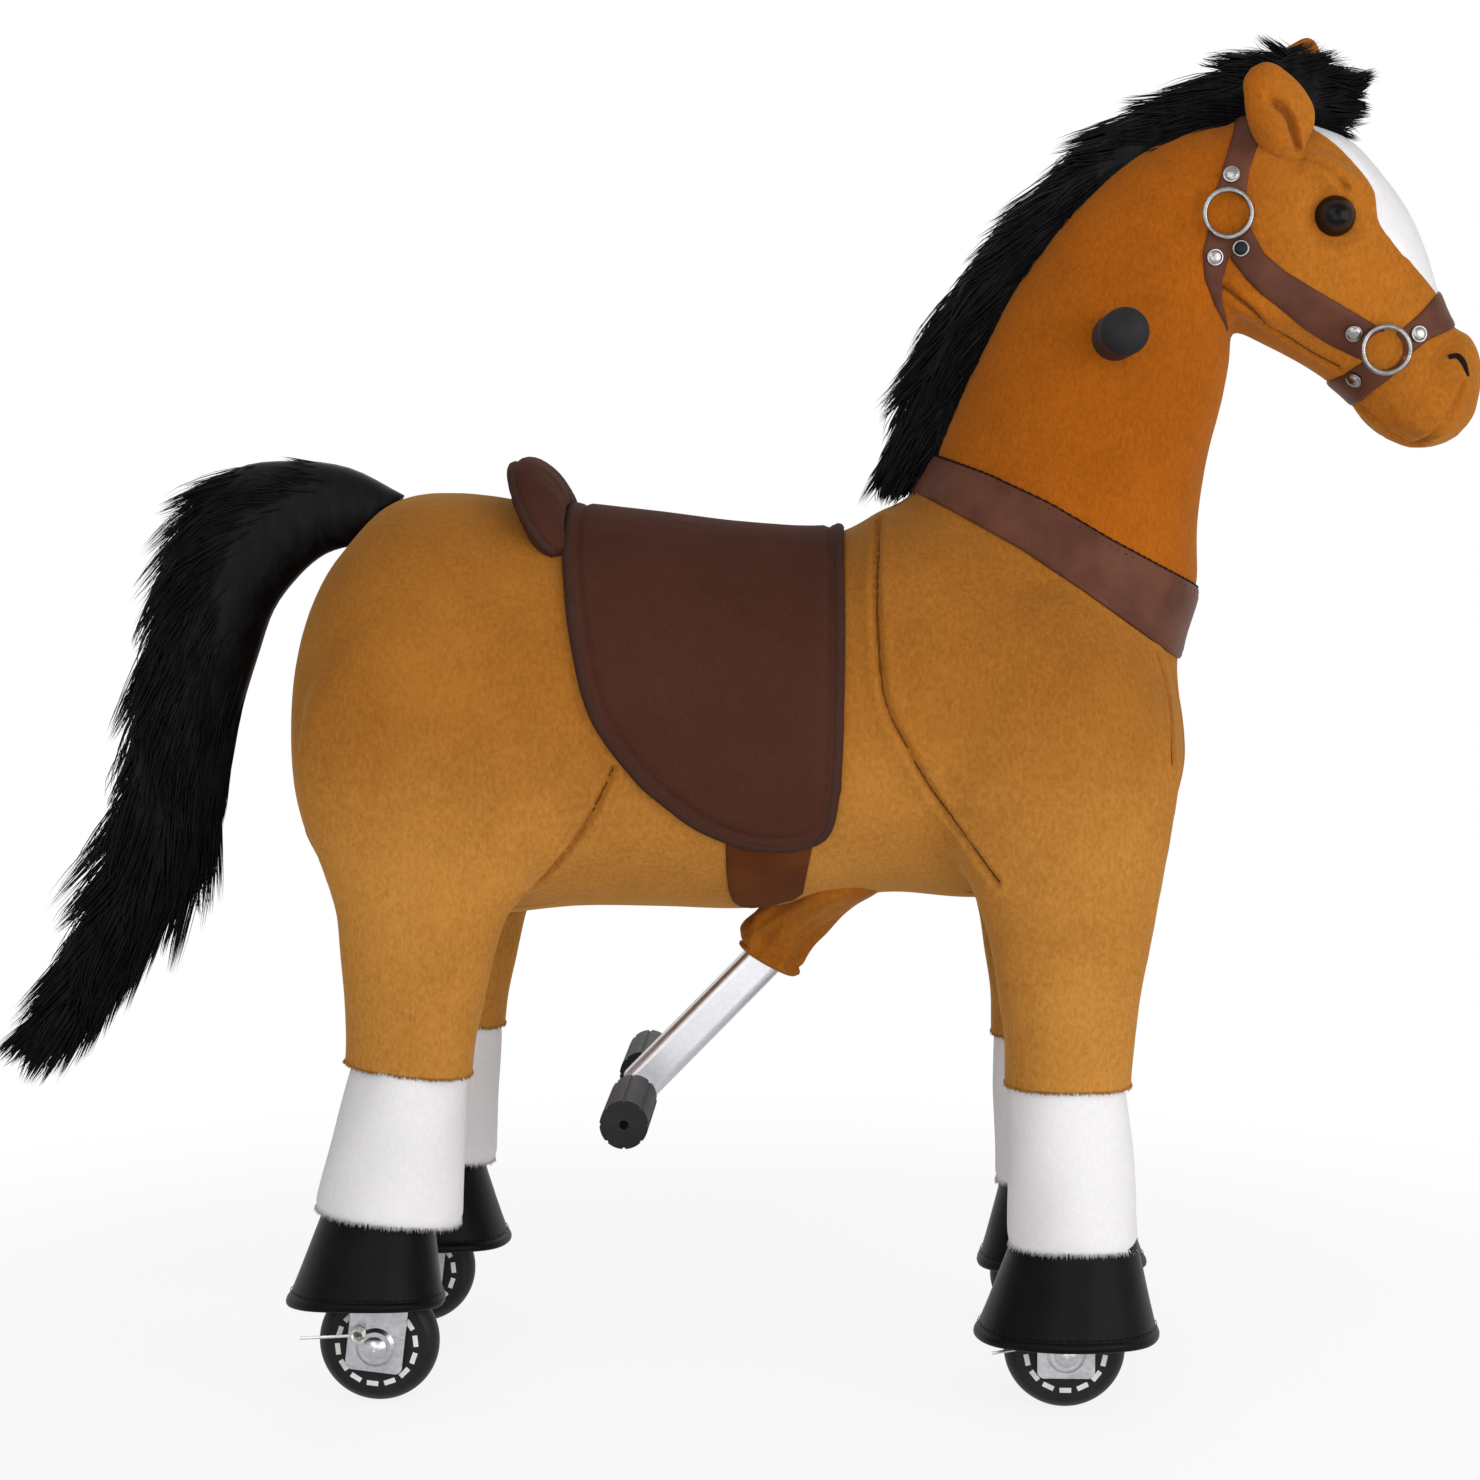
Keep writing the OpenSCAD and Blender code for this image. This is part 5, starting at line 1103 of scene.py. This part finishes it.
EAR_EDGE = [(291, 747), (287, 740), (287.5, 730.5), (288.7, 721), (292, 711), (297.5, 702.5), (306.5, 696),
            (316.5, 692.5), (321.5, 696), (321.5, 703), (324, 709.5), (326.5, 716), (326, 725), (321.5, 733.5),
            (316, 740), (309.5, 745.5), (304, 749), (298, 750)]
EAR_SLIT = [(300, 729), (306, 724.5), (310.5, 719.5), (313.5, 711.5), (317.5, 702)]
# Middle of the leaf, height of its foot and distance from the middle of the horse; then how full it is, half the
# width of the fold, and how full the back is against the front
EAR_MIDDLE, EAR_FOOT, EAR_Y = np.array([306.0, 724.0]), 698, 39
EAR_FULL, SLIT_HALF, BACK_SHARE = 9.5, 2.3, 0.55
# Height, x, z and width of the two lobes beside the fold
LOBES = [(3.0, 303, 711, 11), (2.2, 320, 714, 6)]
# How far an ear goes forward as it stands up, and how far up the left one stands
PERK_FORWARD, FAR_PERK = 1.36, 0.48


def ear_form(sign, perk):
    """One ear, whose fold opens towards its foot; perk stands it further up and forward."""
    edge = smooth_rows(EAR_EDGE + EAR_EDGE[:1], 8)[:-1]
    slit = smooth_rows(EAR_SLIT, 10)
    shares = np.sin(np.linspace(0, 1, 22) * math.pi / 2)
    halves = []
    for out in (1, -1):
        rings = []
        for share in shares:
            x, z = (EAR_MIDDLE + (edge - EAR_MIDDLE) * share).T
            puff = EAR_FULL * math.sqrt(max(0.0, 1 - share ** 2.2))
            if out > 0:
                gap = np.hypot(x[:, None] - slit[:, 0], z[:, None] - slit[:, 1])
                open_share = np.clip(gap.argmin(1) / len(slit) * 4 + 0.2, 0, 1) * (share < 0.999)
                puff = puff - EAR_FULL * np.exp(-(gap.min(1) / SLIT_HALF) ** 2) * open_share
                for high, lobe_x, lobe_z, wide in LOBES:
                    puff = puff + high * np.exp(-(np.hypot(x - lobe_x, z - lobe_z) / wide) ** 2) * (1 - share ** 4)
            else:
                puff = BACK_SHARE * puff
            lean = EAR_Y + (z - 700) * 0.03
            up = np.maximum(z - EAR_FOOT, 0) * perk
            rings.append(np.stack([x + PERK_FORWARD * up, sign * (lean + out * puff), z + up], 1) * MM)
        halves.append(rings)
    return loft(halves[0][1:] + halves[1][1:-1][::-1])


ears = make_piece("ear_plush", *merge([ear_form(1, FAR_PERK), ear_form(-1, 0.0)]), tan_plush)
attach(ears, "chassis")
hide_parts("ears")

# Tack: sheets that take the coat's own shape and are lifted off it

skin_quads = np.array(skin_faces)


def inside_of(outline):
    """Field of signed distance in mm from a closed outline of the side view, negative inside."""
    outline = np.array(outline, float)

    def field(points):
        x, z = points[:, 0] / MM, points[:, 2] / MM
        best = np.full(len(points), 1e9)
        odd = np.zeros(len(points), bool)
        for (ax, az), (bx, bz) in zip(outline, np.roll(outline, -1, 0)):
            best = np.minimum(best, off_line(x, z, (ax, az), (bx - ax, bz - az)))
            if az != bz:
                odd ^= ((az > z) != (bz > z)) & (x < (bx - ax) * (z - az) / (bz - az) + ax)
        return np.where(odd, -best, best)
    return field


def outside_ring(place, radius):
    """Field that is negative outside a round opening of the side view."""
    def field(points):
        return radius - np.hypot(points[:, 0] / MM - place[0], points[:, 2] / MM - place[1])
    return field


def beside(least):
    """Field that is negative on both sides, further than least mm from the middle."""
    def field(points):
        return least - np.abs(points[:, 1]) / MM
    return field


def all_of(*fields):
    """Field that is negative where all fields are."""
    return lambda points: np.maximum.reduce([field(points) for field in fields])


def any_of(*fields):
    """Field that is negative where any of the fields is."""
    return lambda points: np.minimum.reduce([field(points) for field in fields])


# Height of a sheet's back off the coat, how far round it the coat is taken, in mm, and the fewest points of an edge
SHEET_BACK, SHEET_MARGIN, EDGE_LEAST = 0.2, 9.0, 8


def cut_sheet(field, lift):
    """Points and faces of a sheet on the coat where field is negative, and its edges as lines of points and normals.

    lift(depth) is the height of its face off the coat, in mm, at a distance from the edge."""
    picked = skin_quads[(field(skin)[skin_quads] < SHEET_MARGIN).any(1)]
    used, flat = np.unique(picked, return_inverse=True)
    form = bmesh.new()
    corners = [form.verts.new(p) for p in skin[used]]
    for quad in flat.reshape(-1, 4):
        form.faces.new([corners[i] for i in quad])
    bmesh.ops.subdivide_edges(form, edges=form.edges[:], cuts=1, use_grid_fill=True, smooth=0.8)
    slice_along(form, field)
    form.normal_update()
    form.verts.index_update()
    points = np.array([v.co[:] for v in form.verts])
    normals = np.array([v.normal[:] for v in form.verts])
    faces = [[v.index for v in f.verts] for f in form.faces]
    form.free()
    middles = np.array([points[f].mean(0) for f in faces])
    faces = [f for f, d in zip(faces, field(middles)) if d < 0]
    used = np.array(sorted({i for f in faces for i in f}))
    index = {old: new for new, old in enumerate(used)}
    faces = [tuple(index[i] for i in f) for f in faces]
    points, normals = points[used], normals[used]
    depth = np.maximum(-field(points), 0)
    top = points + normals * (lift(depth) * MM)[:, None]
    back = points + normals * SHEET_BACK * MM
    border = dict(border_of(faces))
    n = len(points)
    rim = [(b, a, a + n, b + n) for a, b in border.items()]
    edges = []
    while border:
        line = list(border.popitem())
        while line[-1] in border:
            line.append(border.pop(line[-1]))
        if len(line) > EDGE_LEAST:
            edges.append((top[line], normals[line]))
    faces = faces + [tuple(i + n for i in f[::-1]) for f in faces] + rim
    return ([tuple(p) for p in np.vstack([top, back])], faces), edges


def inset(edge, field, by, lift):
    """The edge line of a sheet moved in over its face and lifted, in mm."""
    points, normals = edge
    inward = unit(np.cross(normals, np.gradient(points, axis=0)))
    wrong = field(points + inward * 2 * MM) > field(points - inward * 2 * MM)
    inward[wrong] *= -1
    return points + inward * by * MM + normals * lift * MM


ENDS_MEET = 4 * MM


def evened(points, rounds):
    """A line with its small steps smoothed away; it is closed if its ends lie close together."""
    points = np.array(points)
    closed = np.linalg.norm(points[0] - points[-1]) < ENDS_MEET
    for _ in range(rounds):
        if closed:
            points[-1] = points[0]
            core = points[:-1]
            core = 0.5 * core + 0.25 * (np.roll(core, 1, 0) + np.roll(core, -1, 0))
            points = np.vstack([core, core[:1]])
        else:
            points[1:-1] = 0.5 * points[1:-1] + 0.25 * (points[2:] + points[:-2])
    return points


def runs_of(chosen, least=4):
    """Index lists of the unbroken runs of a line's chosen points."""
    at = np.flatnonzero(chosen)
    return [run for run in np.split(at, np.flatnonzero(np.diff(at) > 1) + 1) if len(run) >= least]


def tack_piece(name, parts, finish, slot, *stands_for):
    """A piece on the chassis of several forms, and the nodes that it stands for."""
    piece = make_piece(name, *merge(parts), finish)
    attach(piece, "chassis")
    if stands_for:
        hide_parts(*stands_for)
    return piece


# Thread in the long seams, on the body and on the front legs; it stays clear of the cut between them

THREAD_SEAMS = ("shoulder", "haunch", "jaw", "mouth_low", "chest")
# Height over the groove's floor, radius and its change, in mm; then how far outside and inside the cut the thread
# keeps, in mm, and how far from the middle it runs on a leg, in metres
THREAD_LIFT, THREAD_RADIUS, THREAD_WAVE = 1.5, 0.6, 0.1
CLEAR_OF_LEG, CLEAR_OF_BODY, THREAD_Y = 0.6, -1.2, 0.06
thread_runs = {"chassis": [], "front_legs": []}
for name in THREAD_SEAMS:
    for sign in SIDES.values():
        rows = smooth_rows(SEAMS[name], 10)
        line = np.array([on_side(x, z, sign, THREAD_LIFT - SEAM_DEPTHS[name])[0][:] for x, z in rows])
        off_cut = leg_side(line)
        moving = (off_cut < CLEAR_OF_BODY) & (np.abs(line[:, 1]) > THREAD_Y) & is_pair(line, "front")
        for body, chosen in (("chassis", off_cut > CLEAR_OF_LEG), ("front_legs", moving)):
            for at in runs_of(chosen, 6):
                wave = THREAD_WAVE * np.sin(np.arange(len(at)) * 2.1)
                thread_runs[body].append(tube(evened(line[at], 5), (THREAD_RADIUS + wave) * MM, 6))
for body, parts in thread_runs.items():
    piece = make_piece(f"{body}_seam_thread", *merge(parts), seam_thread)
    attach(piece, body)

# Saddle cloth, its bound edge and the rolled cantle behind it

SADDLE_EDGE = [(65, 520), (65, 492), (65.5, 440), (65, 398), (64, 365), (62, 343), (57, 324), (42, 316), (25, 315),
               (8, 317.5), (-15, 327), (-34, 341), (-50, 356), (-73, 389), (-84, 431), (-88.5, 460), (-91.5, 483),
               (-93, 520)]
OVER_BACK = [(-93, 560), (65, 560)]
SADDLE_STITCH = 8.0
saddle_field = inside_of(np.vstack([smooth_rows(SADDLE_EDGE, 5), OVER_BACK]))


def saddle_lift(depth):
    """A padded face with a sewn line along its edge."""
    pad = 2.4 + 3.4 * (1 - np.exp(-depth / 4.0))
    return pad - 1.7 * np.exp(-((depth - SADDLE_STITCH) / 1.5) ** 2)


pad, pad_edges = cut_sheet(saddle_field, saddle_lift)
saddle = tack_piece("saddle_cloth", [pad], saddle_suede, "saddle_suede", "saddle")
binding_parts, thread_parts = [], []
for edge in pad_edges:
    bound = evened(inset(edge, saddle_field, by=2.6, lift=-0.2), 4)
    binding_parts.append(tube(bound, 3.5 * MM, 10, 0.9, edge[1]))
    sewn = evened(inset(edge, saddle_field, by=SADDLE_STITCH, lift=0.6), 4)
    thread_parts += stitches(sewn, length=3.4, gap=1.5, radius=0.42)
tack_piece("saddle_binding", binding_parts, edge_binding, "saddle_suede")
tack_piece("saddle_stitching", thread_parts, black_thread_and_shadow, "saddle_suede")


def on_top(x, y):
    """Point of the coat seen from above at x and y, in mm, with its outward direction."""
    hit, normal, *_ = coat.ray_cast(Vector((x * MM, y * MM, 1.0)), Vector((0, 0, -1)))
    return np.array(hit), np.array(normal)


# The cantle's foot and half span, how far it bends forward at its ends, and the bend of its span, in mm and radians
CANTLE_X, CANTLE_HALF, CANTLE_BEND, CANTLE_ARC = -98, 77, 6, 1.35
CANTLE_BACK = np.array([-0.86, 0, 0.2])
roll_rings, roll_edge = [], []
for t in np.linspace(-1, 1, 61):
    span = CANTLE_HALF * math.sin(t * CANTLE_ARC) / math.sin(CANTLE_ARC)
    foot, normal = on_top(CANTLE_X + CANTLE_BEND * t * t, span)
    up = normal * 0.62 + CANTLE_BACK
    up /= np.linalg.norm(up)
    across = np.cross(up, np.array([0, 1.0, 0]))
    across /= np.linalg.norm(across)
    full = max(0.0, 1 - abs(t) ** 2.4)
    high = (5 + 33 * full ** 0.8) * MM
    thick = (4.5 + 7.5 * full ** 0.6) * MM
    crease = 1 + 0.03 * math.sin(21 * t) + 0.02 * math.sin(47 * t + 1)
    c, s = np.cos(angles(28)), np.sin(angles(28))
    s = np.sign(s) * np.abs(s) ** 0.8
    middle = foot + up * (high * 0.5 - 1.5 * MM)
    roll_rings.append(middle + np.outer(c * high * 0.52, up) + np.outer(s * thick * crease, across))
    roll_edge.append(middle + up * high * 0.5 + across * thick * 0.25)
roll = tack_piece("cantle_roll", [loft(roll_rings)], saddle_suede, "saddle_suede", "cantle")
tack_piece("cantle_piping", [tube(roll_edge, 2.9 * MM, 8)], edge_binding, "saddle_suede")

GIRTH_EDGE = [(1, 330), (0.3, 315), (0.2, 300), (1, 288), (2.8, 281), (6.5, 276.5), (13, 274.5), (26, 277),
              (37, 281), (42.5, 286), (45, 300), (48, 315), (48, 330)]
girth, _ = cut_sheet(all_of(inside_of(GIRTH_EDGE), beside(35)), lambda d: 0.9 + 1.2 * (1 - np.exp(-d / 1.5)))
tack_piece("girth_straps", [girth], girth_brown, "strap_leather", "girth_tabs")

# Breast collar round the root of the neck

# Height of the strap's lower and upper edge over a line that falls with the collar, at places along it
COLLAR_LOW = [103, 129, 163, 196, 224, 247], [571, 571.6, 571.7, 568, 564, 561]
COLLAR_HIGH = [118, 146, 179, 213, 240, 262], [598.4, 603, 605.7, 604.8, 606, 607.4]
COLLAR_STRETCH, COLLAR_START, COLLAR_STITCH = 1.147, 60, 3.6


def collar_rise(points):
    """Place along the horse and height over the falling line, in mm."""
    x = points[:, 0] / MM
    return x, points[:, 2] / MM + COLLAR_SLOPE * x


def collar_field(points):
    """Signed distance in mm from the edge of the collar, negative inside it."""
    x, rise = collar_rise(points)
    over, below = rise - np.interp(x, *COLLAR_HIGH), np.interp(x, *COLLAR_LOW) - rise
    return np.maximum.reduce([over / COLLAR_STRETCH, below / COLLAR_STRETCH, COLLAR_START - x])


def collar_lift(depth):
    """A thick strap with a sewn line along each edge."""
    return 1.2 + 1.9 * (1 - np.exp(-depth / 1.6)) - 0.5 * np.exp(-((depth - COLLAR_STITCH) / 0.9) ** 2)


collar, collar_edges = cut_sheet(collar_field, collar_lift)
tack_piece("collar_strap", [collar], strap_brown, "strap_leather", "breast_collar")
thread_parts = []
for edge in collar_edges:
    sewn = evened(inset(edge, collar_field, by=3.4, lift=0.9), 3)
    thread_parts += stitches(sewn, length=3.6, gap=1.4, radius=0.45)
tack_piece("collar_stitching", thread_parts, black_thread_and_shadow, "strap_leather")

# A dark cord just under the collar's upper edge: partly painted shadow in the gap between strap and neck, partly the
# stitching there
edge_shadow_parts = []
for points, normals in collar_edges:
    x, rise = collar_rise(points)
    for run in runs_of(np.abs(rise - np.interp(x, *COLLAR_HIGH)) < 2.5):
        wave = 0.25 * np.sin(np.arange(len(run)) * 1.7) * MM
        edge_shadow_parts.append(tube(evened(points[run] - normals[run] * 0.3 * MM, 4), 0.85 * MM + wave, 6))
tack_piece("collar_edge_shadow_and_thread", edge_shadow_parts, black_thread_and_shadow, "strap_leather")

# Bridle: crown, throat and cheek straps and the noseband, open inside the two rings

RINGS = ((278.0, 666.0), (368.0, 591.0))
CROWN = [(267, 666), (271, 677), (274.5, 687), (278.5, 700), (283.5, 714), (289, 732), (294, 745), (306, 745),
         (300, 716), (294, 701), (290, 690), (288.5, 680), (289, 668)]
THROAT = [(284, 660), (283, 652), (278, 638), (276, 627), (277, 616), (281.5, 602), (272, 616), (266, 630),
          (264.5, 644), (267, 655), (268, 662)]
CHEEK = [(274, 658), (275.5, 650), (281, 640), (289, 629.5), (296, 622.5), (318, 606.5), (337, 595), (356, 586),
         (362, 584), (369, 601), (363, 604.5), (354, 609.5), (332.5, 621.5), (311, 633.5), (299, 643.5),
         (291.5, 657), (287, 664.5)]
NOSE_HIGH = [(368, 594), (376, 601.5), (388, 612), (397, 621), (415, 636), (430, 616), (407, 603), (393, 597),
             (384, 590), (372, 584)]
NOSE_LOW = [(372, 594), (361, 587.5), (349, 579.5), (339, 573), (322, 561), (342, 542), (356, 560), (364, 569),
            (372, 575.5), (381, 584)]
clear_of_rings = all_of(outside_ring(RINGS[0], 12.4), outside_ring(RINGS[1], 10.6))


def strap_lift(depth):
    """A thin strap with a rounded edge."""
    return 0.7 + 1.3 * (1 - np.exp(-depth / 1.2))


low_straps = all_of(any_of(inside_of(THROAT), inside_of(CHEEK)), beside(14))
headstall, _ = cut_sheet(all_of(any_of(inside_of(CROWN), low_straps), clear_of_rings), strap_lift)
tack_piece("bridle_straps", [headstall], strap_brown, "strap_leather", "headstall")
noseband, _ = cut_sheet(all_of(any_of(inside_of(NOSE_HIGH), inside_of(NOSE_LOW)), clear_of_rings), strap_lift)
tack_piece("noseband_strap", [noseband], strap_brown, "strap_leather", "noseband")

# Places of the caps and of the dark snap in the side view, and radius and height of their turned forms, in mm
CAPS = [(280.8, 687.2), (270.7, 642.2), (350.2, 601.2), (386, 600), (353.9, 576.3)]
SNAP = (286.2, 646.7)
DOME = [(4.7, -1.6), (4.8, 0.7), (4.4, 1.1), (4.0, 0.8), (3.7, 1.3), (2.5, 1.8), (0.8, 2.0)]
RIM = [(4.8, -1.6), (4.9, 1.0), (4.5, 1.5), (3.9, 1.6), (3.5, 1.0), (1.0, 0.8)]
STUD = [(3.4, 0.6), (3.5, 1.5), (3.1, 2.0), (2.0, 2.3), (0.7, 2.4)]
CAP_LIFT = 2.8
NOSTRIL = [(404, 587), (409, 587.5), (412.5, 583), (414.5, 576.5)]


def cap(x, z, sign, profile):
    """A small turned cap that sits on a strap; profile is radius and height, in mm."""
    place, normal = on_side(x, z, sign, CAP_LIFT)
    normal = np.array(normal)
    side = np.cross(normal, (0, 0, 1.0))
    side /= np.linalg.norm(side)
    rise = np.cross(side, normal)
    a = angles(28)
    round_about = np.outer(np.cos(a), side) + np.outer(np.sin(a), rise)
    return loft([np.array(place) + normal * h * MM + r * MM * round_about for r, h in profile])


def nostril(sign):
    """A sewn nostril: a tapering cord with short stitches across it."""
    line = np.array([on_side(x, z, sign, 0.5)[0][:] for x, z in smooth_rows(NOSTRIL, 5)])
    swell = np.sin(np.linspace(0.25, math.pi - 0.2, len(line)))
    parts = [tube(line, 1.5 * MM * swell + 0.3 * MM, 8)]
    for a, b in zip(line[:-1], line[1:]):
        run = b - a
        run /= np.linalg.norm(run)
        for share in (0.2, 0.7):
            at = a * (1 - share) + b * share
            cross = np.cross(run, np.array(on_side(at[0] / MM, at[2] / MM, sign)[1])) * 1.4 * MM
            parts.append(tube([at - cross, at + run * 0.4 * MM, at + cross], 0.42 * MM, 5))
    return parts


cap_parts, snap_parts, nostril_parts = [], [], []
for sign in SIDES.values():
    cap_parts += [cap(x, z, sign, DOME) for x, z in CAPS] + [cap(*SNAP, sign, RIM)]
    snap_parts.append(cap(*SNAP, sign, STUD))
    nostril_parts += nostril(sign)
tack_piece("bridle_caps", cap_parts, chrome, "chrome_trim", "bridle_rivets")
tack_piece("snap_caps", snap_parts, grip_rubber, "grip_rubber")
tack_piece("nostril_stitching", nostril_parts, black_thread_and_shadow, "black_fur")

# Plush sleeve round the foot lever: rear x, z, front x, z and half width from the belly down, in mm

SLEEVE_ROWS = [
    (38, 295, 97, 291, 52), (33, 286, 87, 281.5, 54), (25, 277.5, 75, 274, 46), (17.5, 270, 63, 264.5, 34),
    (11.5, 264, 53.5, 254.5, 25.5), (7.5, 258, 47, 246, 20.5), (5.8, 252.5, 42, 238, 18.5),
    (5.3, 248.5, 38.5, 231.5, 17.5), (7.5, 245.5, 35.5, 230, 15), (12, 248, 33, 236, 12)]
SLEEVE_SIDES = 56


def sleeve_fold(a, u):
    """How far the sleeve's folds stand out, in mm, at angles round it and a share of its length; it ends in a hem."""
    fold = 1.7 * np.sin(6 * a + 5 * u + 0.8 * np.sin(3 * a)) + 1.0 * np.sin(11 * a - 6 * u + 1)
    fold = fold + 0.8 * np.sin(3 * a + 22 * u) - 1.2 * (1 - np.abs(np.sin(4 * a + 4 * u))) ** 4
    hem = 0.8 * math.exp(-((u - 0.76) / 0.04) ** 2) - 1.5 * math.exp(-((u - 0.7) / 0.022) ** 2)
    return fold * math.sin(math.pi * min(1, u * 1.15)) + hem


sleeve_rows = smooth_rows(SLEEVE_ROWS, 6)
sleeve_rings = []
for k, row in enumerate(sleeve_rows):
    ring = section(row, SLEEVE_SIDES, 2.1)
    fold = sleeve_fold(angles(SLEEVE_SIDES), k / len(sleeve_rows))
    sleeve_rings.append(ring + unit(ring - ring.mean(0)) * fold[:, None] * MM)
sleeve = make_piece("lever_sleeve", *loft(sleeve_rings), sleeve_plush)
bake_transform(sleeve)
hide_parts("pedal_boot")

# Floor and light

LIT = Vector((0.0, 0.0, 0.38))


def lamp(name, place, power, size):
    """A square soft lamp that faces the middle of the horse."""
    light = bpy.data.lights.new(name, "AREA")
    light.energy = power
    light.size = size
    thing = bpy.data.objects.new(name, light)
    scene.collection.objects.link(thing)
    thing.location = place
    thing.rotation_euler = (LIT - thing.location).to_track_quat("-Z", "Y").to_euler()


lamp("key_lamp", (-0.7, -2.2, 1.5), power=15.0, size=1.6)
lamp("fill_lamp", (1.7, -1.3, 0.6), power=24.0, size=1.6)
lamp("low_lamp", (0.2, -1.5, 0.1), power=8.0, size=1.2)
lamp("back_lamp", (0.2, 1.9, 1.5), power=10.0, size=1.6)


def seen(tree):
    """1 for rays that come straight from the camera or by way of a mirror or glass."""
    straight, mirrored, through = [
        tree.add("ShaderNodeLightPath", out=f"Is {kind} Ray") for kind in ("Camera", "Glossy", "Transmission")]
    return tree.math("MAXIMUM", tree.math("MAXIMUM", straight, mirrored), through)


world = bpy.data.worlds.new("studio")
scene.world = world
world.use_nodes = True
world.node_tree.nodes.clear()
air = Sock(world.node_tree)
glow = air.add("ShaderNodeBackground", None, {"Color": (1, 1, 1, 1), "Strength": 0.4 + seen(air) * 0.6})
air.add("ShaderNodeOutputWorld", None, {"Surface": glow})

floor_finish, tree, place = new_finish("pale_floor")
x, y = place.axis(0), place.axis(1)
far = ((x * x + y * y) ** 0.5).between(0.4, 0.9)
speck = place.noise(300.0, 3.0, 0.6)
matt = tree.add("ShaderNodeBsdfDiffuse", None, {"Color": speck.mix((0.9, 0.9, 0.9, 1), (0.95, 0.95, 0.95, 1))})
white = tree.add("ShaderNodeEmission", None, {"Color": (1, 1, 1, 1), "Strength": 1.0})
both = tree.add("ShaderNodeMixShader", None, {0: (0.85 + far * 0.15) * seen(tree), 1: matt, 2: white})
tree.add("ShaderNodeOutputMaterial", None, {"Surface": both})
FLOOR = [(-8, -8, 0), (8, -8, 0), (8, 8, 0), (-8, 8, 0)]
floor = make_piece("floor", FLOOR, [(0, 1, 2, 3)], floor_finish, smooth=False)
